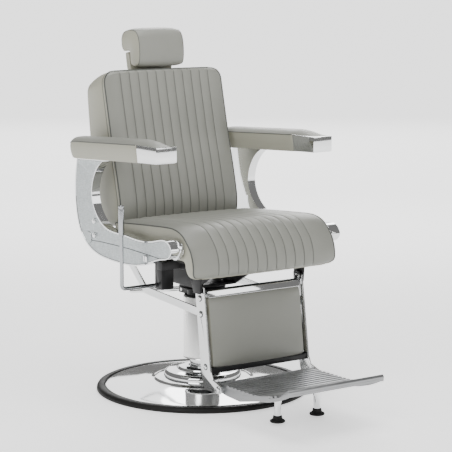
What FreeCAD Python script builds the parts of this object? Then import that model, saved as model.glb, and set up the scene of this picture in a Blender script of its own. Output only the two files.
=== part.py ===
import FreeCAD, Part
import math
import os

import Sketcher

# A hydraulic barber chair. It faces -Y, +Z is up, and the origin is on the floor, on the axis of
# the column. "left" and "right" are the sitter's: left is +X. All lengths are in millimetres.

SIZES = {
    # base and hydraulic column
    "base_radius": 350,
    "ring_width": 24,
    "ring_height": 18,
    "ring_lip": 4,
    "weight_thickness": 12,
    "dish_wall": 3,
    "dish_crown": 58,
    "boss_radius": 128,
    "boss_height": 78,
    "flange_radius": 105,
    "flange_bolt_circle": 90,
    "flange_bolt_radius": 6,
    "cylinder_radius": 42,
    "cylinder_bore": 34,
    "cylinder_top": 286,
    "bush_length": 40,
    "ram_radius": 30,
    "ram_shoulder": 306,
    "spigot_radius": 22,
    "spigot_length": 26,
    "bearing_radius": 36,
    "bearing_height": 8,
    "cover_radius": 63,
    "cover_wall": 3,
    "cover_bottom": 105,
    "head_radius": 50,
    "turntable_radius": 77,
    "turntable_height": 17,
    "running_gap": 0.05,
    "free_gap": 0.4,
    # foot pedal
    "pedal_back": 72,
    "pedal_reach": 400,
    "pedal_half_width": 40,
    "pedal_rod": 6,
    "pedal_slope": 10,
    "pin_radius": 6,
    # seat
    "seat_level": 490,
    "board_thickness": 12,
    "rail_height": 26,
    "rail_width": 30,
    "rail_inner": 202,
    "seat_half_width": 267,
    "seat_front": 358,
    "seat_rear": 85,
    "seat_thickness": 86,
    "front_drop": 53,
    # C-shaped side plates and arms
    "side_gap": 28,
    "side_thickness": 30,
    "side_rear": 264,
    "side_nose": 314,
    "arm_rise": 284,
    "arm_half_width": 37,
    "arm_front": 251,
    "arm_rear": 280,
    "arm_cap_length": 116,
    "arm_cap_wall": 4,
    "arm_height": 58,
    "arm_board_thickness": 10,
    "arm_slope": 0.049,
    "hub_radius": 31,
    # back and headrest
    "back_pivot_y": 180,
    "back_pivot_rise": 18,
    "back_tube_radius": 14,
    "back_half_width": 226,
    "back_height": 518,
    "back_thickness": 130,
    "back_lean": 12,
    "post_half_width": 12,
    "post_half_thickness": 4,
    "post_length": 225,
    "head_half_width": 90,
    "head_height": 123,
    # leg rest, links and footrest
    "leg_pivot_forward": 265,
    "leg_pivot_drop": 98,
    "crank_forward": 10,
    "crank_drop": 78,
    "strut_reach": 33,
    "strut_drop": 70.7,
    "plate_thickness": 6,
    "link_inner": 178,
    "link_half_height": 12.5,
    "washer_gap": 3,
    "leg_bar_half_width": 24,
    "foot_hinge_forward": 369,
    "foot_hinge_height": 94,
    "leg_pad_half_width": 176,
    "foot_half_width": 180,
    "foot_length": 344,
    "foot_ribs": 14,
    "foot_stem_x": 76,
    "foot_stem_forward": 517,
    # recline lever
    "lever_forward": 100,
    "lever_height": 385,
    "lever_clear": 45,
    "lever_top": 648,
    "lever_rod": 6,
    "grip_length": 95,
    "grip_radius": 9,
}

doc = FreeCAD.newDocument("BarberChair")
sheet = doc.addObject("Spreadsheet::Sheet", "Sizes")
for row, (word, number) in enumerate(SIZES.items(), start=1):
    sheet.set(f"A{row}", word)
    sheet.set(f"B{row}", str(number))
    sheet.setAlias(f"B{row}", word)
doc.recompute()


class Size:
    """A number and the sheet formula it comes from, so that a property can follow the sheet."""

    def __init__(self, value, formula):
        self.value = float(value)
        self.formula = formula

    def __add__(self, other):
        other = as_size(other)
        return Size(self.value + other.value, f"({self.formula} + {other.formula})")

    def __sub__(self, other):
        other = as_size(other)
        return Size(self.value - other.value, f"({self.formula} - {other.formula})")

    def __mul__(self, other):
        other = as_size(other)
        return Size(self.value * other.value, f"({self.formula} * {other.formula})")

    def __radd__(self, other):
        return as_size(other) + self

    def __rsub__(self, other):
        return as_size(other) - self

    def __rmul__(self, other):
        return as_size(other) * self

    def __neg__(self):
        return self * -1


def as_size(thing):
    return thing if isinstance(thing, Size) else Size(thing, f"({float(thing):.6f})")


class Sheet:
    """The driving sizes by name."""


s = Sheet()
for word in SIZES:
    setattr(s, word, Size(sheet.get(word), f"Sizes.{word}"))

SIDES = {"left": 1, "right": -1}
nodes = []


def node(label, thing):
    """Names a finished sub-part, which is written to a file of that name."""
    thing.Label = label
    nodes.append(thing)
    return thing


def follow(thing, sizes):
    for name, size in sizes.items():
        thing.setExpression(name, as_size(size).formula)


def place(thing, x, y, z):
    follow(thing, {"Placement.Base.x": x, "Placement.Base.y": y, "Placement.Base.z": z})


def box(name, x, y, z):
    """A block between two values along each axis."""
    block = doc.addObject("Part::Box", name)
    follow(block, {"Length": x[1] - x[0], "Width": y[1] - y[0], "Height": z[1] - z[0]})
    place(block, x[0], y[0], z[0])
    return block


def rod(name, axis, radius, spot, ends):
    """A round bar along an axis; spot holds its two other coordinates."""
    turn = {
        "x": FreeCAD.Rotation(FreeCAD.Vector(0, 1, 0), 90),
        "y": FreeCAD.Rotation(FreeCAD.Vector(1, 0, 0), -90),
        "z": FreeCAD.Rotation(),
    }[axis]
    start = {
        "x": (ends[0], spot[0], spot[1]),
        "y": (spot[0], ends[0], spot[1]),
        "z": (spot[0], spot[1], ends[0]),
    }[axis]
    bar = doc.addObject("Part::Cylinder", name)
    bar.Placement = FreeCAD.Placement(FreeCAD.Vector(), turn)
    follow(bar, {"Radius": radius, "Height": ends[1] - ends[0]})
    place(bar, *start)
    return bar


def group(name, pieces):
    bundle = doc.addObject("Part::Compound", name)
    bundle.Links = pieces
    return bundle


def fuse(name, pieces):
    joined = doc.addObject("Part::MultiFuse", name)
    joined.Shapes = pieces
    return joined


def cut(name, base, tools):
    result = doc.addObject("Part::Cut", name)
    result.Base = base
    result.Tool = tools[0] if len(tools) == 1 else group(name + "_tools", tools)
    return result


def tube(name, axis, outer, inner, spot, ends):
    """A round bar with a hole right through."""
    bar = rod(name + "_bar", axis, outer, spot, ends)
    bore = rod(name + "_bore", axis, inner, spot, (ends[0] - 1, ends[1] + 1))
    return cut(name, bar, [bore])


def sketch_on(body, plane):
    """A sketch on one of the body's own origin planes."""
    drawing = body.newObject("Sketcher::SketchObject", body.Name + "_sketch")
    for feature in body.Origin.OriginFeatures:
        if feature.Role == plane:
            drawing.AttachmentSupport = [(feature, "")]
    drawing.MapMode = "FlatFace"
    return drawing


def hold(drawing, geometry, spot, point):
    """Ties one point of the sketch to its two distances from the origin."""
    for kind, size in zip(("DistanceX", "DistanceY"), point):
        size = as_size(size)
        place_in_list = drawing.addConstraint(
            Sketcher.Constraint(kind, -1, 1, geometry, spot, size.value)
        )
        drawing.setExpression(f"Constraints[{place_in_list}]", size.formula)


def draw_outline(drawing, points):
    """A closed polygon whose every corner is held."""
    corners = [FreeCAD.Vector(as_size(a).value, as_size(b).value) for a, b in points]
    first = drawing.GeometryCount
    count = len(points)
    for index in range(count):
        line = Part.LineSegment(corners[index], corners[(index + 1) % count])
        drawing.addGeometry(line, False)
    for index in range(count):
        following = first + (index + 1) % count
        drawing.addConstraint(Sketcher.Constraint("Coincident", first + index, 2, following, 1))
    for index, point in enumerate(points):
        hold(drawing, first + index, 1, point)


def draw_circle(drawing, centre, radius):
    middle = FreeCAD.Vector(as_size(centre[0]).value, as_size(centre[1]).value)
    radius = as_size(radius)
    circle = Part.Circle(middle, FreeCAD.Vector(0, 0, 1), radius.value)
    geometry = drawing.addGeometry(circle, False)
    hold(drawing, geometry, 3, centre)
    last = drawing.addConstraint(Sketcher.Constraint("Radius", geometry, radius.value))
    drawing.setExpression(f"Constraints[{last}]", radius.formula)


def plate(name, points, ends, holes=()):
    """A profile drawn in Y and Z and padded along X between two values."""
    body = doc.addObject("PartDesign::Body", name)
    drawing = sketch_on(body, "YZ_Plane")
    draw_outline(drawing, points)
    for centre, radius in holes:
        draw_circle(drawing, centre, radius)
    pad = body.newObject("PartDesign::Pad", name + "_pad")
    pad.Profile = drawing
    follow(pad, {"Length": ends[1] - ends[0]})
    body.Tip = pad
    follow(body, {"Placement.Base.x": ends[0]})
    return body


def spun(name, points):
    """A profile of radius and height turned about the column's axis."""
    body = doc.addObject("PartDesign::Body", name)
    drawing = sketch_on(body, "XZ_Plane")
    draw_outline(drawing, points)
    turned = body.newObject("PartDesign::Revolution", name + "_turned")
    turned.Profile = drawing
    turned.ReferenceAxis = (drawing, ["V_Axis"])
    turned.Angle = 360
    body.Tip = turned
    return body


def strip(points, half_width):
    """The outline of a flat bar of even width along a path of Y and Z."""
    path = [(as_size(a).value, as_size(b).value) for a, b in points]
    half = as_size(half_width).value
    near, far = [], []
    for index, (y, z) in enumerate(path):
        before = path[max(index - 1, 0)]
        after = path[min(index + 1, len(path) - 1)]
        turns = []
        for start, end in ((before, (y, z)), ((y, z), after)):
            if start != end:
                turns.append(math.atan2(end[1] - start[1], end[0] - start[0]))
        heading = sum(turns) / len(turns)
        reach = half / math.cos((turns[-1] - turns[0]) / 2)
        near.append((y + reach * math.sin(heading), z - reach * math.cos(heading)))
        far.append((y - reach * math.sin(heading), z + reach * math.cos(heading)))
    return near + far[::-1]


def bent_rod(name, radius, route, bend):
    """A round rod along straight runs with an arc of one radius at every turn."""
    points = [FreeCAD.Vector(*[as_size(value).value for value in point]) for point in route]
    bend = as_size(bend).value
    edges = []
    start = points[0]
    for before, corner, after in zip(points, points[1:], points[2:]):
        into = (corner - before).normalize()
        out = (after - corner).normalize()
        turn = into.getAngle(out)
        setback = bend * math.tan(turn / 2)
        arc_start = corner - into * setback
        arc_end = corner + out * setback
        middle = corner + (out - into).normalize() * bend * (1 / math.cos(turn / 2) - 1)
        edges.append(Part.LineSegment(start, arc_start).toShape())
        edges.append(Part.Arc(arc_start, middle, arc_end).toShape())
        start = arc_end
    edges.append(Part.LineSegment(start, points[-1]).toShape())
    path = Part.Wire(edges)
    ring = Part.Circle(points[0], points[1] - points[0], as_size(radius).value)
    solid = path.makePipeShell([Part.Wire([ring.toShape()])], True, False)
    swept = doc.addObject("Part::Feature", name)
    swept.Shape = solid
    return swept


def between(side, inner, outer):
    """The X values of a piece that lies between two distances from the middle, on one side."""
    return (inner, outer) if side > 0 else (-outer, -inner)


# ---------------------------------------------------------------- base and column

ring_inner = s.base_radius - s.ring_width
weight_radius = ring_inner - s.ring_lip
node("rubber_ring", spun("rubber_ring", [
    (ring_inner - s.ring_lip, 0),
    (s.base_radius - 3, 0),
    (s.base_radius, 4),
    (s.base_radius, s.ring_height - 7),
    (s.base_radius - 8, s.ring_height),
    (ring_inner, s.ring_height),
    (ring_inner, s.weight_thickness),
    (ring_inner - s.ring_lip, s.weight_thickness),
]))
node("base_weight", spun("base_weight", [
    (0, 0),
    (weight_radius, 0),
    (weight_radius, s.weight_thickness),
    (0, s.weight_thickness),
]))
dish_rim = ring_inner
dish_profile = [
    (dish_rim, s.ring_height - 3),
    (dish_rim - 30, s.ring_height + 6),
    (dish_rim - 110, s.dish_crown - 22),
    (s.boss_radius + 30, s.dish_crown - 6),
    (s.boss_radius, s.dish_crown),
]
node("base_dish", spun("base_dish", dish_profile + [
    (radius, height - s.dish_wall) for radius, height in reversed(dish_profile)
]))
node("boss_cover", spun("boss_cover", [
    (s.boss_radius - s.dish_wall, s.dish_crown - 12),
    (s.boss_radius, s.dish_crown - 12),
    (s.boss_radius, s.boss_height - 6),
    (s.boss_radius - 6, s.boss_height),
    (s.cylinder_radius + s.free_gap, s.boss_height),
    (s.cylinder_radius + s.free_gap, s.boss_height - s.dish_wall),
    (s.boss_radius - 6, s.boss_height - s.dish_wall),
    (s.boss_radius - s.dish_wall, s.boss_height - 8),
]))
floor_of_cylinder = s.weight_thickness + 8
node("pump_cylinder", spun("pump_cylinder", [
    (0, s.weight_thickness),
    (s.flange_radius, s.weight_thickness),
    (s.flange_radius, s.weight_thickness + 12),
    (s.cylinder_radius, s.weight_thickness + 12),
    (s.cylinder_radius, s.cylinder_top),
    (s.cylinder_bore, s.cylinder_top),
    (s.cylinder_bore, floor_of_cylinder),
    (0, floor_of_cylinder),
]))
node("cylinder_bush", tube(
    "cylinder_bush", "z", s.cylinder_bore, s.ram_radius + s.running_gap, (0, 0),
    (s.cylinder_top - s.bush_length, s.cylinder_top),
))
flange_bolts = []
for quarter in range(4):
    angle = math.radians(45 + 90 * quarter)
    spot = (s.flange_bolt_circle * math.cos(angle), s.flange_bolt_circle * math.sin(angle))
    top = s.weight_thickness + 12
    head = rod("bolt_head", "z", s.flange_bolt_radius + 3, spot, (top, top + 8))
    flange_bolts.append(head)
node("flange_bolt_heads", group("flange_bolt_heads", flange_bolts))

# The ram slides up out of the cylinder and carries the seat on its thrust bearing.
ram_bottom = floor_of_cylinder + 4
node("ram", spun("ram", [
    (0, ram_bottom),
    (s.ram_radius, ram_bottom),
    (s.ram_radius, s.ram_shoulder),
    (s.spigot_radius, s.ram_shoulder),
    (s.spigot_radius, s.ram_shoulder + s.spigot_length),
    (0, s.ram_shoulder + s.spigot_length),
]))
node("ram_piston", tube(
    "ram_piston", "z", s.cylinder_bore - s.running_gap, s.ram_radius, (0, 0),
    (ram_bottom, ram_bottom + 36),
))
bearing_top = s.ram_shoulder + s.bearing_height
node("thrust_bearing", tube(
    "thrust_bearing", "z", s.bearing_radius, s.spigot_radius, (0, 0),
    (s.ram_shoulder, bearing_top),
))

# ---------------------------------------------------------------- what turns on the ram

rail_bottom = s.seat_level - s.board_thickness - s.rail_height
head_bottom = bearing_top + s.running_gap
skirt_radius = s.cover_radius - s.cover_wall
head_top = s.ram_shoulder + s.spigot_length + 3
turntable_top = head_top + s.turntable_height
head_body = spun("head_body", [
    (s.bearing_radius + 1, s.cylinder_top + 10),
    (skirt_radius, s.cylinder_top + 10),
    (skirt_radius, head_bottom),
    (s.head_radius, head_bottom),
    (s.head_radius, head_top),
    (s.spigot_radius + s.running_gap, head_top),
    (s.spigot_radius + s.running_gap, head_bottom),
    (s.bearing_radius + 1, head_bottom),
])
pedal_height = head_top - 13
lug_inner = 31
lug_outer = lug_inner + s.plate_thickness
lugs = [
    box("pedal_lug", between(side, lug_inner, lug_outer), (30, s.pedal_back + 12),
        (pedal_height - 10, head_top))
    for side in SIDES.values()
]
pin_hole = rod("pin_hole", "x", s.pin_radius, (s.pedal_back, pedal_height),
               (-lug_outer - 1, lug_outer + 1))
spigot_hole = rod("spigot_hole", "z", s.spigot_radius + s.running_gap, (0, 0),
                  (head_bottom - 1, head_top + 1))
node("pump_head", cut("pump_head", fuse("head_and_lugs", [head_body] + lugs),
                      [pin_hole, spigot_hole]))
node("column_cover", tube(
    "column_cover", "z", s.cover_radius, skirt_radius, (0, 0),
    (s.cover_bottom, head_bottom - 4),
))
node("turntable", rod("turntable", "z", s.turntable_radius, (0, 0), (head_top, turntable_top)))
node("pedal_pin", rod("pedal_pin", "x", s.pin_radius, (s.pedal_back, pedal_height),
                      (-lug_outer, lug_outer)))

# Mounting bracket: a base plate and two side cheeks that carry the seat frame.
mount_half = 80
cheeks = [
    plate("mount_cheek", [
        (-mount_half, turntable_top),
        (mount_half, turntable_top),
        (30, rail_bottom),
        (-215, rail_bottom),
        (-215, rail_bottom - 24),
    ], between(side, mount_half - 8, mount_half))
    for side in SIDES.values()
]
mount_base = box("mount_base", (-mount_half, mount_half), (-mount_half, mount_half),
                 (turntable_top, turntable_top + 8))
node("seat_mount", fuse("seat_mount", cheeks + [mount_base]))
bolt_spots = [(x, y) for x in (-45, 45) for y in (-45, 45)]
seat_bolts = [
    rod("mount_bolt_head", "z", 9, spot, (turntable_top + 8, turntable_top + 16))
    for spot in bolt_spots
]

# Seat frame: two rails along the seat and two cross members that reach the side plates.
rail_outer = s.rail_inner + s.rail_width
side_inner = s.seat_half_width + s.side_gap
side_outer = side_inner + s.side_thickness
rail_top = rail_bottom + s.rail_height
frame_bars = [
    box("seat_rail", between(side, s.rail_inner, rail_outer), (-296, 40), (rail_bottom, rail_top))
    for side in SIDES.values()
]
for middle in (-200, 0):
    frame_bars.append(box("cross_member", (-side_inner, side_inner), (middle - 15, middle + 15),
                          (rail_bottom, rail_top)))
node("seat_frame", fuse("seat_frame", frame_bars))
node("seat_board", box("seat_board", (-s.seat_half_width + 12, s.seat_half_width - 12),
                       (-s.seat_front + 50, s.seat_rear - 5), (rail_top, s.seat_level)))

# The seat cushion rolls over the front edge and hangs a little below the board.
seat_top = s.seat_level + s.seat_thickness
node("seat_cushion", plate("seat_cushion", [
    (s.seat_rear, s.seat_level),
    (s.seat_rear, seat_top - 20),
    (-60, seat_top - 4),
    (-s.seat_front + 130, seat_top),
    (-s.seat_front + 68, seat_top - 10),
    (-s.seat_front + 28, seat_top - 34),
    (-s.seat_front + 5, seat_top - 68),
    (-s.seat_front, seat_top - 102),
    (-s.seat_front + 4, s.seat_level - s.front_drop),
    (-s.seat_front + 30, s.seat_level - s.front_drop + 8),
    (-s.seat_front + 49, s.seat_level - 22),
    (-s.seat_front + 49, s.seat_level),
], (-s.seat_half_width, s.seat_half_width)))


def arm_underside(y):
    """The height of the sloping underside of the arms."""
    return s.seat_level + s.arm_rise - s.arm_slope * y


def side_curve(points):
    """Points of the side plate's outline: Y, and Z as a share of the height under the arm."""
    return [(as_size(y), s.seat_level + s.arm_rise * share) for y, share in points]


back_pivot = (s.back_pivot_y, s.seat_level + s.back_pivot_rise)
outer_curve = side_curve([
    (s.side_rear - 16, 0.955), (s.side_rear - 3, 0.72), (s.side_rear - 6, 0.40),
    (s.side_rear - 34, 0.12), (s.side_rear - 100, -0.06), (s.side_rear - 210, -0.135),
    (-s.side_nose + 260, -0.14), (-s.side_nose + 150, -0.085), (-s.side_nose + 60, 0.01),
    (-s.side_nose + 12, 0.06), (-s.side_nose, 0.125),
])
inner_curve = side_curve([
    (-s.side_nose, 0.125), (-s.side_nose + 20, 0.215), (-s.side_nose + 100, 0.2),
    (-s.side_nose + 220, 0.175), (-40, 0.19), (s.side_rear - 190, 0.23),
    (s.side_rear - 134, 0.37), (s.side_rear - 110, 0.56), (s.side_rear - 122, 0.76),
    (s.side_rear - 180, 0.965),
])


def spline_through(points):
    curve = Part.BSplineCurve()
    curve.interpolate([FreeCAD.Vector(y.value, z.value) for y, z in points])
    return curve


def side_profile(name, ends, tube_hole):
    """The C outline, with the hole for the back's pivot tube, padded along X."""
    body = doc.addObject("PartDesign::Body", name)
    drawing = sketch_on(body, "YZ_Plane")
    top_front = (inner_curve[-1][0], arm_underside(inner_curve[-1][0]))
    top_rear = (outer_curve[0][0], arm_underside(outer_curve[0][0]))
    crest = [inner_curve[-1], top_front, top_rear, outer_curve[0]]
    drawing.addGeometry(spline_through(outer_curve), False)
    drawing.addGeometry(spline_through(inner_curve), False)
    for start, end in zip(crest, crest[1:]):
        line = Part.LineSegment(FreeCAD.Vector(start[0].value, start[1].value),
                                FreeCAD.Vector(end[0].value, end[1].value))
        drawing.addGeometry(line, False)
    count = drawing.GeometryCount
    for first, first_end, second, second_end in (
        (0, 2, 1, 1), (1, 2, 2, 1), (2, 2, 3, 1), (3, 2, 4, 1), (4, 2, 0, 1),
    ):
        drawing.addConstraint(
            Sketcher.Constraint("Coincident", first, first_end, second, second_end)
        )
    for geometry in range(count):
        drawing.addConstraint(Sketcher.Constraint("Block", geometry))
    draw_circle(drawing, back_pivot, tube_hole)
    pad = body.newObject("PartDesign::Pad", name + "_pad")
    pad.Profile = drawing
    follow(pad, {"Length": ends[1] - ends[0]})
    body.Tip = pad
    follow(body, {"Placement.Base.x": ends[0]})
    return body


hub_spot = (-s.side_nose + 32, s.seat_level + 35)
bolt_places = [
    (s.back_pivot_y - 40, back_pivot[1] + 58),
    (s.back_pivot_y - 40, back_pivot[1] + 12),
    (-170, s.seat_level - 4),
]
for word, side in SIDES.items():
    node(f"side_plate_{word}", side_profile(
        f"side_plate_{word}", between(side, side_inner, side_outer),
        s.back_tube_radius + s.running_gap))
    node(f"front_hub_{word}", rod(f"front_hub_{word}", "x", s.hub_radius, hub_spot,
                                  between(side, s.seat_half_width + 2, side_inner)))
    seat_bolts += [
        rod("side_bolt", "x", 8, spot, between(side, side_outer, side_outer + 4))
        for spot in bolt_places
    ]
    arm_middle = side_inner + 5
    arm_inner = arm_middle - s.arm_half_width
    arm_outer = arm_middle + s.arm_half_width
    rear = s.arm_rear
    front = -s.arm_front
    cap_rear = front + s.arm_cap_length
    board = s.arm_board_thickness
    node(f"arm_board_{word}", plate(f"arm_board_{word}", [
        (front + 8, arm_underside(front + 8)),
        (rear - 12, arm_underside(rear - 12)),
        (rear - 12, arm_underside(rear - 12) + board),
        (front + 8, arm_underside(front + 8) + board),
    ], between(side, arm_inner + 8, arm_outer - 8)))
    pad_top = arm_underside(0) + s.arm_height + 6
    pad_body = plate(f"arm_pad_{word}_body", [
        (cap_rear + 1, arm_underside(cap_rear + 1) + board),
        (rear - 4, arm_underside(rear - 4) + board),
        (rear, arm_underside(rear) + board + 12),
        (rear - 14, pad_top - 20),
        (rear - 60, pad_top - 10),
        (cap_rear + 1, pad_top),
    ], between(side, arm_inner, arm_outer))
    pad_nose = plate(f"arm_pad_{word}_nose", [
        (front + 10, arm_underside(front + 10) + board),
        (cap_rear + 1, arm_underside(cap_rear + 1) + board),
        (cap_rear + 1, pad_top),
        (front + 60, pad_top - 2),
        (front + 10, pad_top - 20),
    ], between(side, arm_inner + 8, arm_outer - 8))
    node(f"arm_pad_{word}", fuse(f"arm_pad_{word}", [pad_body, pad_nose]))
    cap_block = plate(f"arm_cap_{word}_block", [
        (front, arm_underside(front) + 1),
        (cap_rear, arm_underside(cap_rear) + 1),
        (cap_rear, pad_top - 8),
        (front, pad_top - 14),
    ], between(side, arm_inner, arm_outer))
    hollow = box(f"arm_cap_{word}_hollow",
                 between(side, arm_inner + s.arm_cap_wall, arm_outer - s.arm_cap_wall),
                 (front + s.arm_cap_wall, cap_rear + 5),
                 (s.seat_level + s.arm_rise - 20, pad_top + 20))
    node(f"arm_cap_{word}", cut(f"arm_cap_{word}", cap_block, [hollow]))
node("seat_bolt_heads", group("seat_bolt_heads", seat_bolts))

# Hangers under the rails carry the leg rest's pivots; the pins stand inwards from them.
leg_pivot = (-s.leg_pivot_forward, s.seat_level - s.leg_pivot_drop)
link_outer = s.link_inner + s.plate_thickness
bar_inner = link_outer + s.washer_gap
bar_outer = bar_inner + s.plate_thickness
pins = []
for word, side in SIDES.items():
    node(f"leg_hanger_{word}", plate(f"leg_hanger_{word}", [
        (leg_pivot[0] - 18, leg_pivot[1] - 14),
        (leg_pivot[0] + 18, leg_pivot[1] - 14),
        (leg_pivot[0] + 44, rail_bottom),
        (leg_pivot[0] + 44, rail_top),
        (leg_pivot[0] - 25, rail_top),
        (leg_pivot[0] - 25, rail_bottom),
    ], between(side, s.rail_inner - s.plate_thickness, s.rail_inner)))
    pins.append(rod("leg_pivot_pin", "x", s.pin_radius, leg_pivot,
                    between(side, bar_inner - 2, s.rail_inner - s.plate_thickness)))
node("leg_pivot_pins", group("leg_pivot_pins", pins))

# The lever's bracket hangs under the right rail.
lever_axis = (-s.lever_forward, s.lever_height)
lever_block = box("lever_block", (-rail_outer - 6, -s.rail_inner + 8),
                  (lever_axis[0] - 24, lever_axis[0] + 16), (lever_axis[1] - 14, rail_bottom))
lever_bore = rod("lever_bore", "x", s.lever_rod + s.running_gap, lever_axis,
                 (-rail_outer - 10, -s.rail_inner + 12))
node("lever_bracket", cut("lever_bracket", lever_block, [lever_bore]))

# The recline strut lies along the middle, clamped under the rear cross member.
strut_pin = (s.back_pivot_y + s.strut_reach, back_pivot[1] - s.strut_drop)
strut_height = strut_pin[1] - 4
strut_body = rod("strut_body", "y", 14, (0, strut_height), (-70, 110))
strut_clamp = box("strut_clamp", (-18, 18), (-14, 14), (strut_height, rail_bottom))
strut_bore = rod("strut_bore", "y", s.pin_radius + s.running_gap, (0, strut_height), (-56, 120))
node("strut_cylinder", cut("strut_cylinder", fuse("strut_solid", [strut_body, strut_clamp]),
                           [strut_bore]))

# ---------------------------------------------------------------- foot pedal

slope = math.tan(math.radians(s.pedal_slope.value))
tail_drop = (s.pedal_reach - s.pedal_back) * slope
neck = s.pedal_back + 34
barrel = rod("pedal_barrel", "x", 11, (s.pedal_back, pedal_height),
             (-lug_inner + 1, lug_inner - 1))
loop = bent_rod("pedal_loop", s.pedal_rod, [
    (-20, s.pedal_back, pedal_height),
    (-20, neck, pedal_height - 34 * slope),
    (-s.pedal_half_width, neck + 34, pedal_height - 68 * slope),
    (-s.pedal_half_width, s.pedal_reach, pedal_height - tail_drop),
    (s.pedal_half_width, s.pedal_reach, pedal_height - tail_drop),
    (s.pedal_half_width, neck + 34, pedal_height - 68 * slope),
    (20, neck, pedal_height - 34 * slope),
    (20, s.pedal_back, pedal_height),
], 22)
pedal_bore = rod("pedal_bore", "x", s.pin_radius + s.running_gap, (s.pedal_back, pedal_height),
                 (-lug_inner, lug_inner))
node("pump_pedal", cut("pump_pedal", fuse("pedal_solid", [barrel, loop]), [pedal_bore]))

# ---------------------------------------------------------------- reclining back

crank_pin = (back_pivot[0] - s.crank_forward, back_pivot[1] - s.crank_drop)
back_bottom = back_pivot[1] + s.back_tube_radius + 10
back_top = back_pivot[1] + s.back_height
lean = math.tan(math.radians(s.back_lean.value))


def back_front(height):
    """Y of the back's front face at a height above its bottom."""
    return s.back_pivot_y - 62 + height * lean


back_rise = s.back_height - s.back_tube_radius - 10
rear_line = [
    (back_front(0) + 118, back_bottom),
    (back_front(back_rise * 0.25) + s.back_thickness + 20, back_bottom + back_rise * 0.25),
    (back_front(back_rise * 0.6) + s.back_thickness + 8, back_bottom + back_rise * 0.6),
    (back_front(back_rise) + s.back_thickness - 12, back_top - 20),
]
board_depth = 12
upright_depth = 10
cushion_rear = [(y - board_depth - upright_depth, z) for y, z in rear_line]
back_cushion_solid = plate("back_cushion_solid", [
    (back_front(0) - 22, back_bottom + 12),
    (back_front(0) - 10, back_bottom),
] + cushion_rear + [
    (back_front(back_rise) + 80, back_top),
    (back_front(back_rise) + 8, back_top),
    (back_front(back_rise) - 2, back_top - 12),
    (back_front(60), back_bottom + 60),
], (-s.back_half_width, s.back_half_width))

board_outline = [(y - board_depth, z) for y, z in rear_line]
node("back_board", plate("back_board", board_outline + rear_line[::-1],
                         (-s.back_half_width + 4, s.back_half_width - 4)))

# The steel frame: a tube across the pivots, two uprights, two cranks and two strut lugs.
pivot_tube = rod("pivot_tube", "x", s.back_tube_radius, back_pivot,
                 (-side_outer + 6, side_outer - 6))
upright_line = [(y - board_depth - upright_depth, z) for y, z in rear_line]
frame_parts = [pivot_tube]
for side in SIDES.values():
    frame_parts.append(plate("upright", [
        (back_pivot[0] - 6, back_pivot[1] - 4),
        (back_pivot[0] + 10, back_pivot[1] - 8),
        board_outline[0],
    ] + board_outline[1:] + upright_line[::-1], between(side, 130, 160)))
    frame_parts.append(plate("crank", strip([back_pivot, crank_pin], 13),
                             between(side, bar_inner, bar_outer)))
    frame_parts.append(rod("crank_eye", "x", 13, crank_pin, between(side, bar_inner, bar_outer)))
    frame_parts.append(plate("strut_lug", strip([back_pivot, strut_pin], 11),
                             between(side, 12, 18)))
    frame_parts.append(rod("strut_lug_eye", "x", 11, strut_pin, between(side, 12, 18)))
crank_bores = rod("crank_bores", "x", s.pin_radius, crank_pin, (-bar_outer - 1, bar_outer + 1))
strut_bores = rod("strut_bores", "x", s.pin_radius, strut_pin, (-20, 20))
node("back_frame", cut("back_frame", fuse("frame_solid", frame_parts),
                       [crank_bores, strut_bores]))
back_pins = [
    rod("back_link_pin", "x", s.pin_radius, crank_pin, between(side, s.link_inner - 2, bar_outer))
    for side in SIDES.values()
]
back_pins.append(rod("strut_pin", "x", s.pin_radius, strut_pin, (-18, 18)))
node("back_pins", group("back_pins", back_pins))

# The headrest's guide is let into the top of the back and leans with it.
post_foot = (back_front(back_rise) + 50, back_top - 170)
post_head = (post_foot[0].value + s.post_length.value * math.sin(math.radians(s.back_lean.value)),
             post_foot[1].value + s.post_length.value * math.cos(math.radians(s.back_lean.value)))
foot_point = (post_foot[0].value, post_foot[1].value)


def along_post(distance):
    """A point on the post's centre line, a distance up from its foot."""
    share = distance / s.post_length.value
    return (foot_point[0] + (post_head[0] - foot_point[0]) * share,
            foot_point[1] + (post_head[1] - foot_point[1]) * share)


guide_path = [along_post(12), along_post(174)]
guide_block = plate("guide_block", strip(guide_path, s.post_half_thickness + 6),
                    (-s.post_half_width - 6, s.post_half_width + 6))
guide_slot = plate("guide_slot", strip([along_post(0), along_post(190)],
                                       s.post_half_thickness + s.running_gap),
                   (-s.post_half_width - s.running_gap, s.post_half_width + s.running_gap))
node("headrest_guide", cut("headrest_guide", guide_block, [guide_slot]))
pocket = plate("guide_pocket", strip([along_post(-6), along_post(260)],
                                     s.post_half_thickness + 6 + s.free_gap),
               (-s.post_half_width - 6 - s.free_gap, s.post_half_width + 6 + s.free_gap))
node("back_cushion", cut("back_cushion", back_cushion_solid, [pocket]))

# ---------------------------------------------------------------- headrest

post_bar = plate("post_bar", strip([along_post(0), along_post(s.post_length.value)],
                                   s.post_half_thickness),
                 (-s.post_half_width, s.post_half_width))
head_pivot = (post_head[0] + 4, post_head[1] + 4)
knuckle = rod("post_knuckle", "x", 9, head_pivot, (-s.post_half_width, s.post_half_width))
post_bore = rod("post_bore", "x", s.pin_radius, head_pivot,
                (-s.post_half_width - 1, s.post_half_width + 1))
node("headrest_post", cut("headrest_post", fuse("post_solid", [post_bar, knuckle]),
                          [post_bore]))
ear_outer = s.post_half_width + 7
node("headrest_pin", rod("headrest_pin", "x", s.pin_radius, head_pivot, (-ear_outer, ear_outer)))

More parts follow.
